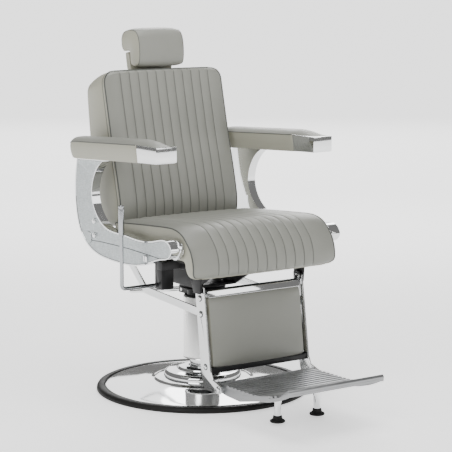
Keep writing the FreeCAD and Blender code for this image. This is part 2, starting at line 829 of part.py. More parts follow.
# A padded tongue hides the post between the back and the headrest.
tongue_low = s.post_length.value - 43
tongue_high = s.post_length.value + 20
tongue_solid = plate("tongue_solid", strip([along_post(tongue_low), along_post(tongue_high)], 11),
                     (-s.head_half_width + 10, s.head_half_width - 10))
tongue_slot = plate("tongue_slot", strip([along_post(0), along_post(tongue_high + 20)],
                                         s.post_half_thickness),
                    (-s.post_half_width, s.post_half_width))
hinge_room = box("hinge_room", (-ear_outer - 6, ear_outer + 6),
                 (head_pivot[0] - 40, head_pivot[0] + 40),
                 (head_pivot[1] - 16, head_pivot[1] + 40))
node("headrest_tongue", cut("headrest_tongue", tongue_solid, [tongue_slot, hinge_room]))

head_step = head_pivot[0] - 25
head_under = head_pivot[1] + 26
head_low = head_pivot[1] - 31
head_top_edge = head_low + s.head_height
panel_height = 6
ears = [
    box("head_ear", between(side, s.post_half_width + 1, ear_outer),
        (head_pivot[0] - 10, head_pivot[0] + 10),
        (head_pivot[1] - 9, head_under - panel_height))
    for side in SIDES.values()
]
head_panel = box("head_panel", (-50, 50), (head_step + 1, head_pivot[0] + 16),
                 (head_under - panel_height, head_under))
head_bore = rod("head_bore", "x", s.pin_radius + s.running_gap, head_pivot, (-30, 30))
node("headrest_plate", cut("headrest_plate", fuse("head_plate_solid", ears + [head_panel]),
                           [head_bore]))
head_front = head_step - 69
node("headrest_cushion", plate("headrest_cushion", [
    (head_front + 14, head_low),
    (head_step - 8, head_low),
    (head_step, head_low + 12),
    (head_step, head_under),
    (head_step + 46, head_under),
    (head_step + 44, head_top_edge - 22),
    (head_step + 18, head_top_edge),
    (head_front + 26, head_top_edge),
    (head_front + 5, head_top_edge - 20),
    (head_front, head_low + 40),
], (-s.head_half_width, s.head_half_width)))

# ---------------------------------------------------------------- leg rest

foot_hinge = (-s.foot_hinge_forward, s.foot_hinge_height)
leg_link = (leg_pivot[0] - s.crank_forward, leg_pivot[1] - s.crank_drop)
ankle = (foot_hinge[0] + 68, foot_hinge[1] + 36)
half = s.leg_bar_half_width
leg_outline = [
    (leg_pivot[0] + half - 2, leg_pivot[1] + 14),
    (ankle[0] + half, ankle[1]),
    (ankle[0] + half - 10, ankle[1] - 34),
    (ankle[0] + 4, ankle[1] - 50),
    (foot_hinge[0] - 6, foot_hinge[1] - 14),
    (foot_hinge[0] - 16, foot_hinge[1] - 4),
    (foot_hinge[0] - 14, foot_hinge[1] + 10),
    (ankle[0] - half - 12, ankle[1] - 12),
    (ankle[0] - half, ankle[1] + 14),
    (leg_pivot[0] - half, leg_pivot[1] + 6),
    (leg_pivot[0] - half + 14, leg_pivot[1] + 18),
    (leg_pivot[0] + half - 16, leg_pivot[1] + 20),
]
leg_holes = [
    (leg_pivot, s.pin_radius + s.running_gap),
    (leg_link, s.pin_radius),
    (foot_hinge, s.pin_radius),
]
leg_pins = []
for word, side in SIDES.items():
    node(f"leg_bar_{word}", plate(f"leg_bar_{word}", leg_outline,
                                  between(side, bar_inner, bar_outer), leg_holes))
    leg_pins.append(rod("leg_link_pin", "x", s.pin_radius, leg_link,
                        between(side, s.link_inner - 1, bar_outer)))
    leg_pins.append(rod("foot_pin", "x", s.pin_radius, foot_hinge,
                        between(side, s.foot_half_width - 8, bar_outer)))
    leg_pins.append(rod("foot_pin_head", "x", 9, foot_hinge,
                        between(side, bar_outer, bar_outer + 4)))
    for spot in ((leg_link[0] + 5, leg_link[1] + 49), leg_link, (ankle[0], ankle[1] + 22)):
        leg_pins.append(rod("bolt_head", "x", 7.5, spot, between(side, bar_outer, bar_outer + 3)))
node("leg_pins", group("leg_pins", leg_pins))

leg_tilt = (leg_pivot[0].value - ankle[0].value) / (leg_pivot[1].value - ankle[1].value)
pad_top_edge = leg_pivot[1] - 26
pad_low_edge = ankle[1] + 20
rail_half = bar_inner - 1


def leg_front(z):
    """Y of the leg rest's front plane at a height."""
    return leg_pivot[0] - 30 - (leg_pivot[1] - z) * leg_tilt * 0.9


node("leg_pad", plate("leg_pad", [
    (leg_front(pad_top_edge) + 4, pad_top_edge),
    (leg_front(pad_low_edge), pad_low_edge),
    (leg_front(pad_low_edge) + 26, pad_low_edge),
    (leg_front(pad_top_edge) + 26, pad_top_edge),
], (-s.leg_pad_half_width, s.leg_pad_half_width)))
node("leg_pad_board", plate("leg_pad_board", [
    (leg_front(pad_top_edge) + 26, pad_top_edge),
    (leg_front(pad_low_edge) + 26, pad_low_edge),
    (leg_front(pad_low_edge) + 34, pad_low_edge),
    (leg_front(pad_top_edge) + 34, pad_top_edge),
], (-s.leg_pad_half_width + 2, s.leg_pad_half_width - 2)))
node("leg_top_rail", plate("leg_top_rail", [
    (leg_front(pad_top_edge) + 2, pad_top_edge),
    (leg_front(pad_top_edge) + 34, pad_top_edge),
    (leg_front(pad_top_edge) + 34, pad_top_edge + 16),
    (leg_front(pad_top_edge) + 22, pad_top_edge + 24),
    (leg_front(pad_top_edge) + 10, pad_top_edge + 20),
], (-s.leg_pad_half_width, s.leg_pad_half_width)))
node("leg_bottom_rail", plate("leg_bottom_rail", [
    (leg_front(pad_low_edge) + 2, pad_low_edge),
    (leg_front(pad_low_edge) + 2, pad_low_edge - 18),
    (leg_front(pad_low_edge) + 34, pad_low_edge - 18),
    (leg_front(pad_low_edge) + 34, pad_low_edge),
], (-rail_half, rail_half)))

# ---------------------------------------------------------------- links

bend = (back_pivot[0] - 120, leg_link[1] + 24)
for word, side in SIDES.items():
    ends = between(side, s.link_inner, link_outer)
    bar = plate(f"link_strip_{word}", strip([leg_link, bend, crank_pin], s.link_half_height), ends)
    eyes = [rod("link_eye", "x", 14, spot, ends) for spot in (leg_link, crank_pin)]
    bores = [
        rod("link_bore", "x", s.pin_radius + s.running_gap, spot, (ends[0] - 1, ends[1] + 1))
        for spot in (leg_link, crank_pin)
    ]
    node(f"link_bar_{word}", cut(f"link_bar_{word}", fuse(f"link_solid_{word}", [bar] + eyes),
                                 bores))

# ---------------------------------------------------------------- footrest

rib_pitch = (s.foot_length.value - 60) / s.foot_ribs.value
foot_rear = foot_hinge[0].value + 34
foot_base = foot_hinge[1].value


def foot_height(forward):
    """Height of the footrest's tread above its hinge, which rises towards the front edge."""
    rise = max(0.0, forward - 190.0)
    return 17.0 + 0.00142 * rise * rise


tread = []
for rib in range(int(s.foot_ribs.value) + 1):
    forward = 22 + rib * rib_pitch
    y = foot_rear - forward
    top = foot_base + foot_height(forward)
    tread += [(y, top), (y - rib_pitch * 0.5, top), (y - rib_pitch * 0.5, top - 3.5),
              (y - rib_pitch * 0.95, top - 3.5)]
lip = foot_rear - s.foot_length.value - 26
foot_top = foot_base + foot_height(s.foot_length.value + 26)
under = [
    (lip, foot_top),
    (lip - 6, foot_top - 6),
    (lip - 4, foot_top - 20),
    (lip + 4, foot_top - 20),
]
for forward in (330, 290, 250, 190, 40):
    under.append((foot_rear - forward, foot_base + foot_height(forward) - 12))
under.append((foot_rear - 4, foot_base + 2))
tread_slab = plate("tread_slab", [(foot_rear, foot_base + 10)] + tread + under,
                   (-s.foot_half_width, s.foot_half_width))
skirts = [
    plate("foot_skirt", [
        (foot_rear, foot_base + 10),
        (foot_rear - 60, foot_base + 14),
        (foot_rear - 205, foot_base + 14),
        (foot_rear - 300, foot_base + 32),
        (foot_rear - 240, foot_base + 4),
        (foot_rear - 130, foot_base - 20),
        (foot_rear - 60, foot_base - 16),
        (foot_rear - 10, foot_base - 8),
    ], between(side, s.foot_half_width - 6, s.foot_half_width))
    for side in SIDES.values()
]
foot_bore = rod("foot_bore", "x", s.pin_radius + s.running_gap, foot_hinge,
                (-s.foot_half_width - 1, s.foot_half_width + 1))
stem_y = -s.foot_stem_forward
stem_spots = [(side * s.foot_stem_x, stem_y) for side in SIDES.values()]
stem_top = s.foot_hinge_height + 3
sockets = [rod("stem_socket", "z", 15, spot, (s.foot_hinge_height - 14, stem_top + 4))
           for spot in stem_spots]
node("footrest_plate", cut("footrest_plate", fuse("foot_solid", [tread_slab] + skirts + sockets),
                           [foot_bore]))
node("footrest_stems", group("footrest_stems", [
    rod("foot_stem", "z", 10.5, spot, (28, s.foot_hinge_height - 14)) for spot in stem_spots
]))
feet = []
for spot in stem_spots:
    flare = doc.addObject("Part::Cone", "rubber_foot")
    follow(flare, {"Radius1": 24, "Radius2": 15, "Height": 21})
    place(flare, spot[0], spot[1], 7)
    feet.append(flare)
node("footrest_feet", group("footrest_feet", feet))

# ---------------------------------------------------------------- recline lever and strut rod

lever_x = -(side_outer + s.lever_clear)
lever_route = [
    (-s.rail_inner + 12, lever_axis[0], lever_axis[1]),
    (lever_x, lever_axis[0], lever_axis[1]),
    (lever_x, lever_axis[0], s.lever_top - 4),
]
node("lever_rod", bent_rod("lever_rod", s.lever_rod, lever_route, 14))
grip_ends = (s.lever_top - s.grip_length, s.lever_top)
grip_solid = rod("grip_solid", "z", s.grip_radius, (lever_x, lever_axis[0]), grip_ends)
grip_bore = rod("grip_bore", "z", s.lever_rod, (lever_x, lever_axis[0]),
                (grip_ends[0] - 1, s.lever_top - 4))
node("lever_grip", cut("lever_grip", grip_solid, [grip_bore]))

yoke_low = strut_pin[1] - 22
yoke = box("yoke", (-9, 9), (strut_pin[0] - 18, strut_pin[0] + 18), (yoke_low, strut_pin[1] + 15))
strut_stem = rod("strut_stem", "y", s.pin_radius, (0, strut_height), (60, strut_pin[0] - 10))
slot_half = s.pin_radius + 1
yoke_slot = box("yoke_slot", (-10, 10), (strut_pin[0] - slot_half, strut_pin[0] + slot_half),
                (strut_pin[1] - 15, strut_pin[1] + slot_half + 0.5))
node("strut_rod", cut("strut_rod", fuse("strut_rod_solid", [yoke, strut_stem]), [yoke_slot]))

# ---------------------------------------------------------------- check and write

doc.recompute()
for thing in doc.Objects:
    if "Invalid" in thing.State or "Error" in thing.State:
        raise RuntimeError(f"{thing.Label} did not build: {thing.State}")
os.makedirs("parts", exist_ok=True)
names = [thing.Label for thing in nodes]
if len(names) != len(set(names)):
    raise RuntimeError("two sub-parts share a name")
for thing in nodes:
    if thing.Shape.isNull() or not thing.Shape.isValid() or thing.Shape.Volume <= 0:
        raise RuntimeError(f"{thing.Label} is not a valid solid")
for thing in nodes:
    thing.Shape.exportStep(f"parts/{thing.Label}.step")
print(len(nodes), "sub-parts written")
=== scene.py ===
import math
import bmesh
import bpy
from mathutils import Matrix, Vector


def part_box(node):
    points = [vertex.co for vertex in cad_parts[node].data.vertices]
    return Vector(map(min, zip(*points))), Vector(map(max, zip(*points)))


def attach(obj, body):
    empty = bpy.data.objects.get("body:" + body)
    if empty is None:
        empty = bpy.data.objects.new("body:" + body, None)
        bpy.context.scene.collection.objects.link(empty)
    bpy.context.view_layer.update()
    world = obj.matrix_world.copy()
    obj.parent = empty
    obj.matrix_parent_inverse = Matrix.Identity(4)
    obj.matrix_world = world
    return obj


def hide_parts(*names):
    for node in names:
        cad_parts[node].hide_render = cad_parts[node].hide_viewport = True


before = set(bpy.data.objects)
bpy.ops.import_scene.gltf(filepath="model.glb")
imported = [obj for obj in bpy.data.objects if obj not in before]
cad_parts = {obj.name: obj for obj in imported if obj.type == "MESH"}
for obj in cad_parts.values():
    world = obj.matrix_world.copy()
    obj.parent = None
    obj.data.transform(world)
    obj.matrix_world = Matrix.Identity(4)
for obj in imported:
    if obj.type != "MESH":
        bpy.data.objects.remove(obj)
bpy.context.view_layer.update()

# ---------------------------------------------------------------- rubber ring
# The edge ring is a moulded rubber channel pushed over the rim of the base dish.
# It is the only part that stands on the floor.


def new_finish(name):
    """A fresh material, its shader and its texture coordinates."""
    material = bpy.data.materials.new(name)
    material.use_nodes = True
    nodes = material.node_tree.nodes
    shader = nodes["Principled BSDF"]
    spot = nodes.new("ShaderNodeTexCoord")
    return material, nodes, material.node_tree.links, shader, spot


def cloud(nodes, links, spot, scale, detail=4.0, stretch=(1, 1, 1)):
    """A noise pattern that keeps to the piece, stretched along its axes."""
    turn = nodes.new("ShaderNodeMapping")
    turn.inputs["Scale"].default_value = stretch
    links.new(spot.outputs["Object"], turn.inputs["Vector"])
    noise = nodes.new("ShaderNodeTexNoise")
    noise.inputs["Scale"].default_value = scale
    noise.inputs["Detail"].default_value = detail
    links.new(turn.outputs["Vector"], noise.inputs["Vector"])
    return noise


def spread(nodes, links, source, low, high):
    """Maps a pattern to a span of values."""
    span = nodes.new("ShaderNodeMapRange")
    span.inputs["From Min"].default_value = 0.25
    span.inputs["From Max"].default_value = 0.75
    span.inputs["To Min"].default_value = low
    span.inputs["To Max"].default_value = high
    links.new(source, span.inputs["Value"])
    return span.outputs["Result"]


def blend_colours(nodes, links, factor, first, second):
    """Mixes two colours, each a plain colour or the output of another node."""
    mix = nodes.new("ShaderNodeMix")
    mix.data_type = "RGBA"
    links.new(factor, mix.inputs["Factor"])
    for socket, value in ((mix.inputs[6], first), (mix.inputs[7], second)):
        if isinstance(value, tuple):
            socket.default_value = (*value, 1.0)
        else:
            links.new(value, socket)
    return mix.outputs[2]


def raised(nodes, links, shader, height, strength, depth, under=None):
    """Presses a pattern into the surface, on top of another one if there is one."""
    bump = nodes.new("ShaderNodeBump")
    bump.inputs["Strength"].default_value = strength
    bump.inputs["Distance"].default_value = depth
    links.new(height, bump.inputs["Height"])
    if under is not None:
        links.new(under, bump.inputs["Normal"])
    links.new(bump.outputs["Normal"], shader.inputs["Normal"])
    return bump.outputs["Normal"]


def worked(name, light, dark, rough, metallic, grain, depth, stretch=(1, 1, 1), patches=14):
    """A hard finish: patchy colour and roughness over a fine grain."""
    material, nodes, links, shader, spot = new_finish(name)
    patch = cloud(nodes, links, spot, patches)
    links.new(blend_colours(nodes, links, patch.outputs["Fac"], dark, light),
              shader.inputs["Base Color"])
    links.new(spread(nodes, links, patch.outputs["Fac"], rough[0], rough[1]),
              shader.inputs["Roughness"])
    shader.inputs["Metallic"].default_value = metallic
    fine = cloud(nodes, links, spot, grain, 2.0, stretch)
    raised(nodes, links, shader, fine.outputs["Fac"], 0.5, depth)
    return material


rubber = worked("moulded_rubber", (0.016, 0.0155, 0.015), (0.008, 0.008, 0.0075),
                (0.45, 0.62), 0.0, 420, 0.00025)
rubber.node_tree.nodes["Principled BSDF"].inputs["Specular IOR Level"].default_value = 0.20


def pick_none():
    """Leaves edit mode and deselects everything."""
    if bpy.context.object and bpy.context.object.mode != "OBJECT":
        bpy.ops.object.mode_set(mode="OBJECT")
    bpy.ops.object.select_all(action="DESELECT")


def finish_piece(piece, name, material, body, replaced=()):
    """Names a piece, gives it its material and fixes it to its body."""
    piece.name = name
    piece.data.name = name
    piece.data.materials.clear()
    piece.data.materials.append(material)
    if replaced:
        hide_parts(*replaced)
    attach(piece, body)
    return piece


def turned(rings, middle=(0, 0, 0), along="z", around=128, angle=32):
    """A turned piece drawn out ring by ring from a circle; each ring is (radius, height)."""
    pick_none()
    rings = [(max(radius, 0.00005), height) for radius, height in rings]
    bpy.ops.mesh.primitive_circle_add(vertices=around, radius=rings[0][0],
                                      location=(0, 0, rings[0][1]))
    piece = bpy.context.object
    bpy.ops.object.mode_set(mode="EDIT")
    bpy.ops.mesh.select_all(action="SELECT")
    for (last, low), (radius, high) in zip(rings, rings[1:]):
        bpy.ops.mesh.extrude_edges_move(TRANSFORM_OT_translate={"value": (0, 0, high - low)})
        bpy.ops.transform.resize(value=(radius / last, radius / last, 1),
                                 center_override=(0, 0, high))
    bpy.ops.mesh.select_all(action="SELECT")
    bpy.ops.mesh.remove_doubles(threshold=0.00015)
    bpy.ops.mesh.normals_make_consistent(inside=False)
    bpy.ops.object.mode_set(mode="OBJECT")
    bpy.ops.object.transform_apply(location=True, rotation=False, scale=False)
    if along == "x":
        piece.rotation_euler = (0, math.radians(90), 0)
    if along == "-x":
        piece.rotation_euler = (0, math.radians(-90), 0)
    piece.location = middle
    bpy.ops.object.transform_apply(location=True, rotation=True, scale=True)
    bpy.ops.object.shade_smooth_by_angle(angle=math.radians(angle))
    return piece


ring = turned([
    (0.3265, 0.0006), (0.3470, 0.0), (0.3496, 0.0016), (0.3500, 0.0048), (0.3492, 0.0100),
    (0.3462, 0.0150), (0.3410, 0.0178), (0.3330, 0.0180), (0.3270, 0.0172), (0.3262, 0.0150),
    (0.3262, 0.0040), (0.3265, 0.0006),
])
finish_piece(ring, "edge_ring", rubber, "base", ["rubber_ring"])

# ---------------------------------------------------------------- base dish
# The dish is one sheet of steel spun over a former and chrome plated.
# Its broad shoulder stiffens it; the cast weight sits beneath it, out of sight.

chrome = worked("bright_chrome", (0.80, 0.81, 0.81), (0.70, 0.71, 0.72),
                (0.035, 0.10), 1.0, 6, 0.0004, patches=9)
iron = worked("cast_iron", (0.05, 0.05, 0.05), (0.025, 0.024, 0.023), (0.6, 0.8), 0.6, 260, 0.0006)


def eased(points, radius, steps=5):
    """The same run of points with its inner corners rounded off."""
    rounded = [Vector(points[0])]
    for before, here, after in zip(points, points[1:], points[2:]):
        before, here, after = Vector(before), Vector(here), Vector(after)
        reach = min(radius, 0.45 * (here - before).length, 0.45 * (after - here).length)
        start = here + (before - here).normalized() * reach
        end = here + (after - here).normalized() * reach
        for step in range(steps + 1):
            u = step / steps
            rounded.append(start * (1 - u) ** 2 + here * 2 * u * (1 - u) + end * u ** 2)
    rounded.append(Vector(points[-1]))
    return rounded


def softened(rings, radius, steps=5):
    """Rings for a turned piece with the corners between them rounded off."""
    return [(place.x, place.y) for place in eased(rings, radius, steps)]


dish_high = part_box("base_dish")[1]
dish_top = dish_high.z
dish = turned(softened([
    (0.040, dish_top - 0.012), (0.1260, dish_top - 0.012), (0.1520, dish_top - 0.0155),
    (0.1660, dish_top - 0.0235), (0.2120, 0.0300), (0.3000, 0.0195),
    (0.3180, 0.0170), (0.3262, 0.0125), (0.3250, 0.0110), (0.2120, 0.0240), (0.1600, 0.0320),
    (0.1200, dish_top - 0.0160), (0.0400, dish_top - 0.0160), (0.040, dish_top - 0.012),
], 0.012, 6), around=192)
finish_piece(dish, "spun_dish", chrome, "base", ["base_dish"])


def refinish(node, material):
    """Gives a sub-part that keeps its own shape its finish."""
    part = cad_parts[node]
    part.data.materials.clear()
    part.data.materials.append(material)


refinish("base_weight", iron)

# ---------------------------------------------------------------- boss cover
# A spun and plated skirt covers the flange of the pump and its bolts.
# It rises in a soft cone to the cylinder, which it fits closely.

boss_low, boss_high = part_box("boss_cover")
boss = turned(softened([
    (0.0440, boss_low.z - 0.001), (0.1270, boss_low.z - 0.001), (0.1280, boss_low.z),
    (0.1270, boss_low.z + 0.0100), (0.1180, boss_low.z + 0.0175), (0.0860, boss_low.z + 0.0205),
    (0.0820, boss_low.z + 0.0225), (0.0795, boss_low.z + 0.0285), (0.0600, boss_high.z + 0.001),
    (0.0440, boss_high.z + 0.001), (0.0440, boss_low.z - 0.001),
], 0.005), around=160)
finish_piece(boss, "boss_skirt", chrome, "base", ["boss_cover"])

# ---------------------------------------------------------------- pump
# The oil cylinder is a bored steel tube on a bolted flange; the ground ram slides in it
# through a bronze bush and carries the seat on a thrust bearing.

steel = worked("ground_steel", (0.62, 0.62, 0.61), (0.46, 0.46, 0.46), (0.16, 0.3), 1.0, 90,
               0.0003, (1, 1, 14))
bronze = worked("oiled_bronze", (0.42, 0.28, 0.12), (0.3, 0.19, 0.08), (0.25, 0.4), 1.0, 200, 0.0003)
pump_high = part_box("pump_cylinder")[1]
cylinder = turned([
    (0.0345, 0.0125), (0.1040, 0.0125), (0.1050, 0.0135), (0.1050, 0.0230), (0.1040, 0.0240),
    (0.0460, 0.0240), (0.0420, 0.0280), (0.0420, pump_high.z - 0.002),
    (0.0400, pump_high.z), (0.0345, pump_high.z), (0.0345, 0.0125),
], around=96)
finish_piece(cylinder, "oil_cylinder", chrome, "base", ["pump_cylinder"])
ram_low, ram_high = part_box("ram")
shaft = turned([
    (0, ram_low.z), (0.0285, ram_low.z), (0.0300, ram_low.z + 0.0015), (0.0300, 0.3045),
    (0.0290, 0.3060), (0.0220, 0.3060), (0.0220, ram_high.z - 0.0010),
    (0.0210, ram_high.z), (0, ram_high.z),
], around=96)
finish_piece(shaft, "ground_ram", steel, "ram", ["ram"])
refinish("cylinder_bush", bronze)
refinish("ram_piston", rubber)
refinish("thrust_bearing", steel)
refinish("flange_bolt_heads", steel)

# ---------------------------------------------------------------- column cover
# The cover is a thin plated tube with rolled ends that hangs from the pump head
# and hides the cylinder as the seat goes up and down.

cover_low, cover_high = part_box("column_cover")
cover = turned([
    (0.0605, cover_low.z + 0.0010), (0.0615, cover_low.z), (0.0634, cover_low.z),
    (0.0642, cover_low.z + 0.0020), (0.0634, cover_low.z + 0.0042), (0.0630, cover_low.z + 0.0060),
    (0.0630, cover_high.z - 0.0030), (0.0622, cover_high.z - 0.0008), (0.0615, cover_high.z),
    (0.0602, cover_high.z), (0.0600, cover_high.z - 0.0010), (0.0600, cover_low.z + 0.0030),
    (0.0605, cover_low.z + 0.0010),
], around=160)
# The tube's plating is given a near-white, partly diffuse colour: a painted reflection of the bright
# studio round it.
white_reflection_finish = worked("tube_painted_white_reflection", (0.94, 0.94, 0.93), (0.88, 0.88, 0.87), (0.14, 0.22), 0.72, 90,
                0.0002, (1, 1, 12))
finish_piece(cover, "column_tube", white_reflection_finish, "seat", ["column_cover"])

# ---------------------------------------------------------------- pump head and turntable
# The head is a cast block with lugs for the pedal, and the seat turns on the disc above it.
# Both are painted black.

black = worked("black_paint", (0.016, 0.016, 0.017), (0.007, 0.007, 0.007), (0.28, 0.45), 0.0,
               300, 0.0003)
black.node_tree.nodes["Principled BSDF"].inputs["Specular IOR Level"].default_value = 0.25


def broken_edges(piece, width, segments, angle):
    """Rounds off the edges of the piece in hand that are sharper than an angle."""
    bevel = piece.modifiers.new("Edge", "BEVEL")
    bevel.width = width
    bevel.segments = segments
    bevel.limit_method = "ANGLE"
    bevel.angle_limit = math.radians(angle)
    bpy.ops.object.modifier_apply(modifier="Edge")


def dressed(node, body, material, width=0.0008, name=None, merge_flats=True):
    """A copy of a sub-part with its faces joined and its sharp edges eased."""
    pick_none()
    piece = bpy.data.objects.new(name or node + "_eased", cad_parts[node].data.copy())
    bpy.context.scene.collection.objects.link(piece)
    piece.select_set(True)
    bpy.context.view_layer.objects.active = piece
    bpy.ops.object.mode_set(mode="EDIT")
    bpy.ops.mesh.select_all(action="SELECT")
    bpy.ops.mesh.remove_doubles(threshold=0.00002)
    if merge_flats:
        bpy.ops.mesh.dissolve_limited(angle_limit=math.radians(0.4))
    bpy.ops.object.mode_set(mode="OBJECT")
    if width:
        broken_edges(piece, width, 2, 38)
    bpy.ops.object.shade_smooth_by_angle(angle=math.radians(32))
    return finish_piece(piece, name or node + "_eased", material, body, [node])


dressed("pump_head", "seat", black, 0.0006, "head_casting")
table_low, table_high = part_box("turntable")
table = turned(softened([
    (0.0001, table_low.z), (0.0640, table_low.z), (0.0770, table_low.z + 0.0040),
    (0.0770, table_low.z + 0.0090), (0.0720, table_low.z + 0.0100), (0.0720, table_low.z + 0.0130),
    (0.0765, table_low.z + 0.0140), (0.0765, table_high.z - 0.0010), (0.0740, table_high.z),
    (0.0001, table_high.z),
], 0.002, 3), around=96)
finish_piece(table, "turning_disc", black, "seat", ["turntable"])
refinish("pedal_pin", steel)

# ---------------------------------------------------------------- foot pedal
# The pedal is one length of round bar bent into a loop, plated, and welded
# to a barrel that rocks on the head's pin. It spends its life under a shoe.


def bent_bar(points, radius, closed=False, ends=True):
    """A round bar drawn along a run of points."""
    pick_none()
    bpy.ops.curve.primitive_nurbs_path_add()
    bar = bpy.context.object
    bar.data.splines.clear()
    spline = bar.data.splines.new("POLY")
    spline.points.add(len(points) - 1)
    for place, point in zip(spline.points, points):
        place.co = (*point, 1)
    spline.use_cyclic_u = closed
    spline.use_smooth = True
    bar.data.dimensions = "3D"
    bar.data.bevel_depth = radius
    bar.data.bevel_resolution = 5
    bar.data.use_fill_caps = ends
    bpy.ops.object.convert(target="MESH")
    bar = bpy.context.object
    bpy.ops.object.transform_apply(location=True, rotation=True, scale=True)
    bpy.ops.object.shade_smooth_by_angle(angle=math.radians(40))
    return bar


def joined(pieces):
    """Several shells made one piece."""
    pick_none()
    for piece in pieces:
        piece.select_set(True)
    bpy.context.view_layer.objects.active = pieces[0]
    bpy.ops.object.join()
    return bpy.context.object


pin_low, pin_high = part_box("pedal_pin")
loop_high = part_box("pump_pedal")[1]
pin_y = (pin_low.y + pin_high.y) / 2
pin_z = (pin_low.z + pin_high.z) / 2
slope = math.tan(math.radians(10))
tail_y = loop_high.y - 0.006
tail_z = pin_z - (tail_y - pin_y) * slope
loop_half = 0.040
route = eased([
    (-0.020, pin_y, pin_z), (-0.020, pin_y + 0.034, pin_z - 0.034 * slope),
    (-loop_half, pin_y + 0.068, pin_z - 0.068 * slope), (-loop_half, tail_y, tail_z),
    (loop_half, tail_y, tail_z), (loop_half, pin_y + 0.068, pin_z - 0.068 * slope),
    (0.020, pin_y + 0.034, pin_z - 0.034 * slope), (0.020, pin_y, pin_z),
], 0.030, 8)
loop = bent_bar(route, 0.006)
barrel = turned([
    (0.0062, -0.0300), (0.0100, -0.0300), (0.0110, -0.0290), (0.0110, 0.0290), (0.0100, 0.0300),
    (0.0062, 0.0300), (0.0062, -0.0300),
], (0, pin_y, pin_z), "x", 48)
finish_piece(joined([loop, barrel]), "pedal_loop", chrome, "pedal", ["pump_pedal"])

# ---------------------------------------------------------------- seat mount and frame
# A folded steel bracket and a welded frame of box bar carry the seat. Both are painted black,
# like the hangers of the leg rest, the lever's bracket and the recline strut.

dressed("seat_mount", "seat", black, 0.0012, "mount_bracket")
dressed("seat_frame", "seat", black, 0.0010, "welded_frame")
dressed("lever_bracket", "seat", black, 0.0012, "lever_block")
dressed("strut_cylinder", "seat", black, 0.0008, "strut_body")
dressed("strut_rod", "strut", chrome, 0.0006, "strut_yoke")
for side in ("left", "right"):
    dressed(f"leg_hanger_{side}", "seat", black, 0.0008, f"leg_bracket_{side}")
refinish("leg_pivot_pins", chrome)
refinish("seat_bolt_heads", chrome)
dressed("back_frame", "back", black, 0.0006, "tilt_frame")
refinish("back_pins", chrome)

# ---------------------------------------------------------------- boards
# Birch plywood boards carry the cushions; their faces show a long grain. Those of
# the seat and the leg pad can be seen from below and are covered with a black lining.

board, nodes, links, shader, spot = new_finish("birch_plywood")
figure = cloud(nodes, links, spot, 30, 6.0, (1, 9, 9))
links.new(blend_colours(nodes, links, figure.outputs["Fac"], (0.33, 0.20, 0.10), (0.56, 0.40, 0.24)),
          shader.inputs["Base Color"])
links.new(spread(nodes, links, figure.outputs["Fac"], 0.5, 0.7), shader.inputs["Roughness"])
raised(nodes, links, shader, figure.outputs["Fac"], 0.3, 0.0004)
lining = worked("black_lining", (0.030, 0.029, 0.028), (0.017, 0.017, 0.016), (0.75, 0.9), 0.0,
                800, 0.0004)
for node in ("arm_board_left", "arm_board_right"):
    refinish(node, board)
for node in ("seat_board", "leg_pad_board"):
    refinish(node, lining)

# ---------------------------------------------------------------- side plates
# Each C-shaped side is a thick casting, machined and plated. Its outer face is sunk
# a little inside a smooth rim and covered with a sheet of woven pattern metal.

woven, nodes, links, shader, spot = new_finish("woven_plate")
threads = [cloud(nodes, links, spot, 70, 1.5, stretch) for stretch in ((1, 1, 9), (1, 9, 1))]
weave = nodes.new("ShaderNodeMath")
weave.operation = "MULTIPLY_ADD"
weave.inputs[2].default_value = 0.12
links.new(threads[0].outputs["Fac"], weave.inputs[0])
links.new(threads[1].outputs["Fac"], weave.inputs[1])
slub = cloud(nodes, links, spot, 160, 3.0)
thread_colour = blend_colours(nodes, links, weave.outputs["Value"],
                              (0.12, 0.15, 0.16), (0.95, 0.98, 0.98))
links.new(blend_colours(nodes, links, spread(nodes, links, slub.outputs["Fac"], 0.0, 0.45),
                        thread_colour, (0.52, 0.56, 0.57)), shader.inputs["Base Color"])
shader.inputs["Metallic"].default_value = 0.85
links.new(spread(nodes, links, slub.outputs["Fac"], 0.28, 0.46), shader.inputs["Roughness"])
raised(nodes, links, shader, weave.outputs["Value"], 0.7, 0.0014)

# A near-black finish for painted shadow: it goes on the recess steps of the side plates, the panel
# lines, the hub gaps and under the screw heads.
shadow = worked("joint_shadow", (0.05, 0.055, 0.055), (0.03, 0.032, 0.032), (0.5, 0.7), 0.4, 200,
                0.0002)


def pick_faces(piece, wanted):
    """Opens the piece in hand for shaping with the wanted faces selected."""
    bpy.ops.object.mode_set(mode="EDIT")
    bpy.ops.mesh.select_mode(type="FACE")
    bpy.ops.mesh.select_all(action="DESELECT")
    bpy.ops.object.mode_set(mode="OBJECT")
    for face in piece.data.polygons:
        face.select = wanted(face)
    bpy.ops.object.mode_set(mode="EDIT")


